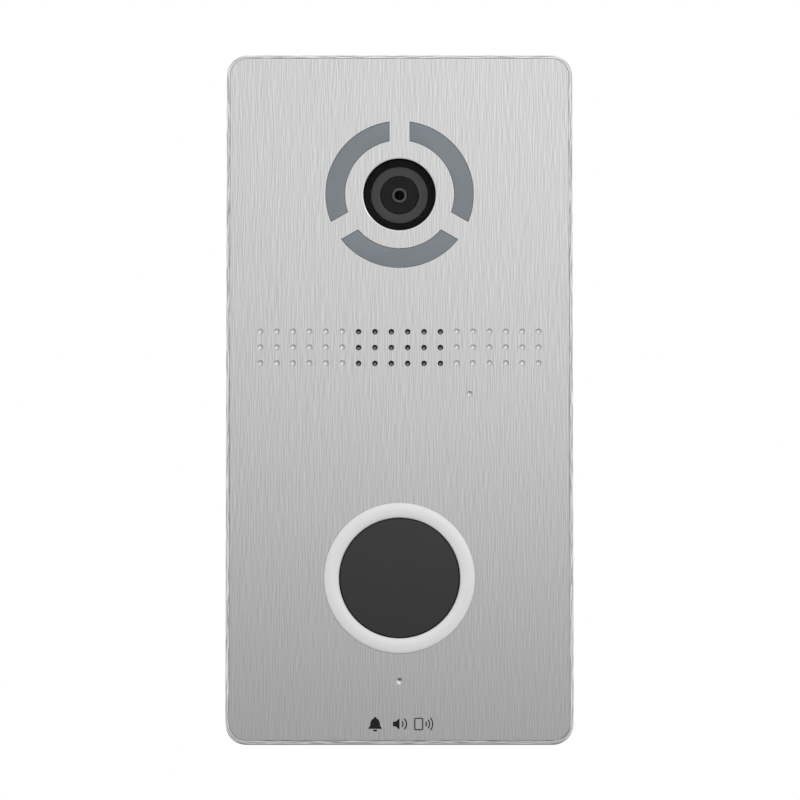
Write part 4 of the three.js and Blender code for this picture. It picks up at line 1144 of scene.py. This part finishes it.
def make_hook():
    """The folded steel hook on top of the housing, with the bend's radii and eased edges."""
    low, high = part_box("hook_bracket")
    sheet, bend = 1.2 * MM, 1.9 * MM
    profile = [
        (low.y, low.z),
        (high.y, low.z, bend),
        (high.y, high.z),
        (high.y - sheet, high.z),
        (high.y - sheet, low.z + sheet, bend - sheet),
        (low.y, low.z + sheet),
    ]
    outline = rounded(profile, 0.2 * MM, steps=5)
    loops = [[(x, y, z) for y, z in outline] for x in (low.x, high.x)]
    hook = carve(solid("hook", loft, loops), hook_screw_bores())
    edges = hook.modifiers.new("soft_edges", "BEVEL")
    edges.width = 0.12 * MM
    edges.segments = 2
    edges.limit_method = "ANGLE"
    edges.angle_limit = math.radians(40)
    place(hook, "zinc_steel", "hook_bracket")


# -------- screws


def make_screw(name, node, direction, shank, head=None):
    """A screw as long as its CAD node, with a hexagon socket; head is (radius, depth)."""
    low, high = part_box(node)
    direction = Vector(direction)
    size, top = head or (shank, 0)
    reach = abs((high - low).dot(direction))
    length = reach - top
    soft, tip = 0.25 * MM, 0.4 * MM
    if head:
        profile = [(0, -length), (shank, -length + tip), (shank, 0), (size, 0)]
    else:
        profile = [(0, -length), (0.6 * size, -length), (size, -length + soft)]
    profile += [(size, top - soft), (size - soft, top), (0, top)]
    screw = solid(name, lathe, profile, 0, 0, 48)
    key, key_depth, flare = 0.56 * size, 1.1 * MM, 0.1 * MM
    steps = [(top - key_depth, key), (top - flare, key), (top + PAST, key + flare + PAST)]
    carve(screw, solid("socket", loft, [at_depth(circle(corner, 6), depth) for depth, corner in steps]))
    turn = Vector((0, 1, 0)).rotation_difference(direction).to_matrix().to_4x4()
    screw.data.transform(Matrix.Translation(centre(node) + direction * (reach / 2 - top)) @ turn)
    place(screw, "screw_steel", node)


def make_screws():
    back, up, down = (0, 1, 0), (0, 0, 1), (0, 0, -1)
    long_head, bracket_head = (2.8 * MM, 1.8 * MM), (2.4 * MM, 1.4 * MM)
    for name in SCREW_NAMES:
        make_screw("long_screw_" + name, "housing_screw_" + name, back, 1.45 * MM, long_head)
    for name in SIDES:
        make_screw("bracket_top_screw_" + name, "hook_screw_" + name, up, 1.3 * MM, bracket_head)
        make_screw("grub_screw_" + name, "lock_screw_" + name, down, 1.25 * MM)


# -------- connectors and tamper pin


def make_socket():
    """The network socket: a tin shell, a dark stepped mouth and eight gold contacts."""
    low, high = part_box("ethernet_jack")
    middle = centre("ethernet_jack")
    floor = low.y + 2.35 * MM
    mouth = ((1.0, 11.9, 7.0), (-3.2, 6.2, 2.5), (-5.0, 3.2, 1.9))  # mm up, wide and high
    mouth_reach, edge = 6.2 * MM, 0.5 * MM
    shell = solid("socket_shell", block, low, high, 0.35 * MM, 3)
    for up, width, height in mouth:
        outline = rectangle(width * MM, height * MM, 0.3 * MM, 0, 4, middle.x, middle.z + up * MM)
        carve(shell, solid("mouth", prism, outline, floor, high.y + PAST))
    place(shell, "zinc_steel", "ethernet_jack")
    shell.data.materials.append(MATERIALS["black_plastic"])
    for face in shell.data.polygons:
        across = max(abs(face.center.x - middle.x), abs(face.center.z - middle.z))
        if across < mouth_reach and face.center.y < high.y - edge:
            face.material_index = 1

    bm = bmesh.new()
    pitch, wire, ways = 1.02 * MM, 0.2 * MM, 8
    root, tip, bend = middle.z + 4.2 * MM, middle.z + 1.6 * MM, high.y - 3.4 * MM
    hairpin = [(bend, root), (bend + 0.6 * MM, root - 0.3 * MM), (bend + 0.2 * MM, root - 0.7 * MM)]
    path = [(floor - wire, root), *hairpin, (floor + 2.5 * MM, tip)]
    for way in range(ways):
        x = middle.x + (way - (ways - 1) / 2) * pitch
        sweep(bm, [(x, y, z) for y, z in path], wire, 8)
    place(mesh_object("socket_contacts", bm), "gold", slot="copper")


def make_plug():
    """The pull-off terminal plug: one wire entry and clamp for each way."""
    low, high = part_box("terminal_plug")
    middle = centre("terminal_plug")
    step_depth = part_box("terminal_header")[1].y + 0.1 * MM
    ways, pitch, entry = 8, 3.5 * MM, 1.15 * MM
    places = [middle.x + (way - (ways - 1) / 2) * pitch for way in range(ways)]
    narrow, shallow, overlap = 0.3 * MM, 0.8 * MM, 1 * MM
    groove_size, slot_size, slot_depth = 0.3 * MM, (26.2 * MM, 1.6 * MM, 0.2 * MM), 4.4 * MM
    plug = solid("plug_body", block, (low.x, step_depth, low.z), high, 0.3 * MM, 3)
    nose_low = (low.x + narrow, low.y, low.z + shallow)
    nose_high = (high.x - narrow, step_depth + overlap, high.z - shallow)
    carve(plug, solid("nose", block, nose_low, nose_high, 0.15 * MM, 2), "UNION")
    bm = bmesh.new()
    start = high.y - 5.4 * MM
    for x in places:
        flared_bore(bm, x, middle.z, 28, entry, 0.35 * MM, high.y, [(0, start), (entry, start)])
    for x in places[:-1]:
        groove = rectangle(groove_size, high.z - low.z + PAST, 0.05 * MM, 0, 2, x + pitch / 2, middle.z)
        prism(bm, groove, high.y - groove_size, high.y + PAST)
    slot = rectangle(*slot_size, 0, 4, middle.x, middle.z)
    prism(bm, slot, low.y - PAST, low.y + slot_depth)
    carve(plug, mesh_object("entries", bm))
    place(plug, "connector_plastic", "terminal_plug", body="terminal_block_plug")

    bm = bmesh.new()
    inner, rim, outer = 0.55 * MM, 0.75 * MM, 1.1 * MM
    bottom, top = high.y - 5 * MM, high.y - 2.2 * MM
    for x in places:
        lathe(bm, [(inner, bottom), (outer, bottom), (outer, top), (rim, top)], x, middle.z, 24)
    place(mesh_object("plug_clamps", bm), "zinc_steel", body="terminal_block_plug")


def make_tamper_pin():
    near, far = depths("tamper_plunger")
    pin = centre("tamper_plunger")
    guide, shaft, collar = 1.2 * MM, 1.5 * MM, radius("tamper_plunger")
    collar_front, collar_back = near + 3.4 * MM, near + 4.35 * MM
    soft = 0.1 * MM
    profile = [
        (0, near),
        (guide, near, 1.5 * soft),
        (guide, collar_front),
        (collar, collar_front, soft),
        (collar, collar_back, soft),
        (shaft, collar_back),
        (shaft, far, 1.1 * MM),
        (0, far),
    ]
    piece = turned("tamper_pin_body", rounded(profile, 0, steps=6, closed=False), pin, 48)
    place(piece, "white_plastic", "tamper_plunger", body="tamper_pin")


# -------- the whole panel

finish_cad_nodes()
make_studio()
make_plate()
make_window()
make_hood()
make_lens()
make_diffuser()
make_ring()
make_cap()
make_springs()
make_symbols()
make_gasket()
make_housing()
make_hook()
make_screws()
make_socket()
make_plug()
make_tamper_pin()
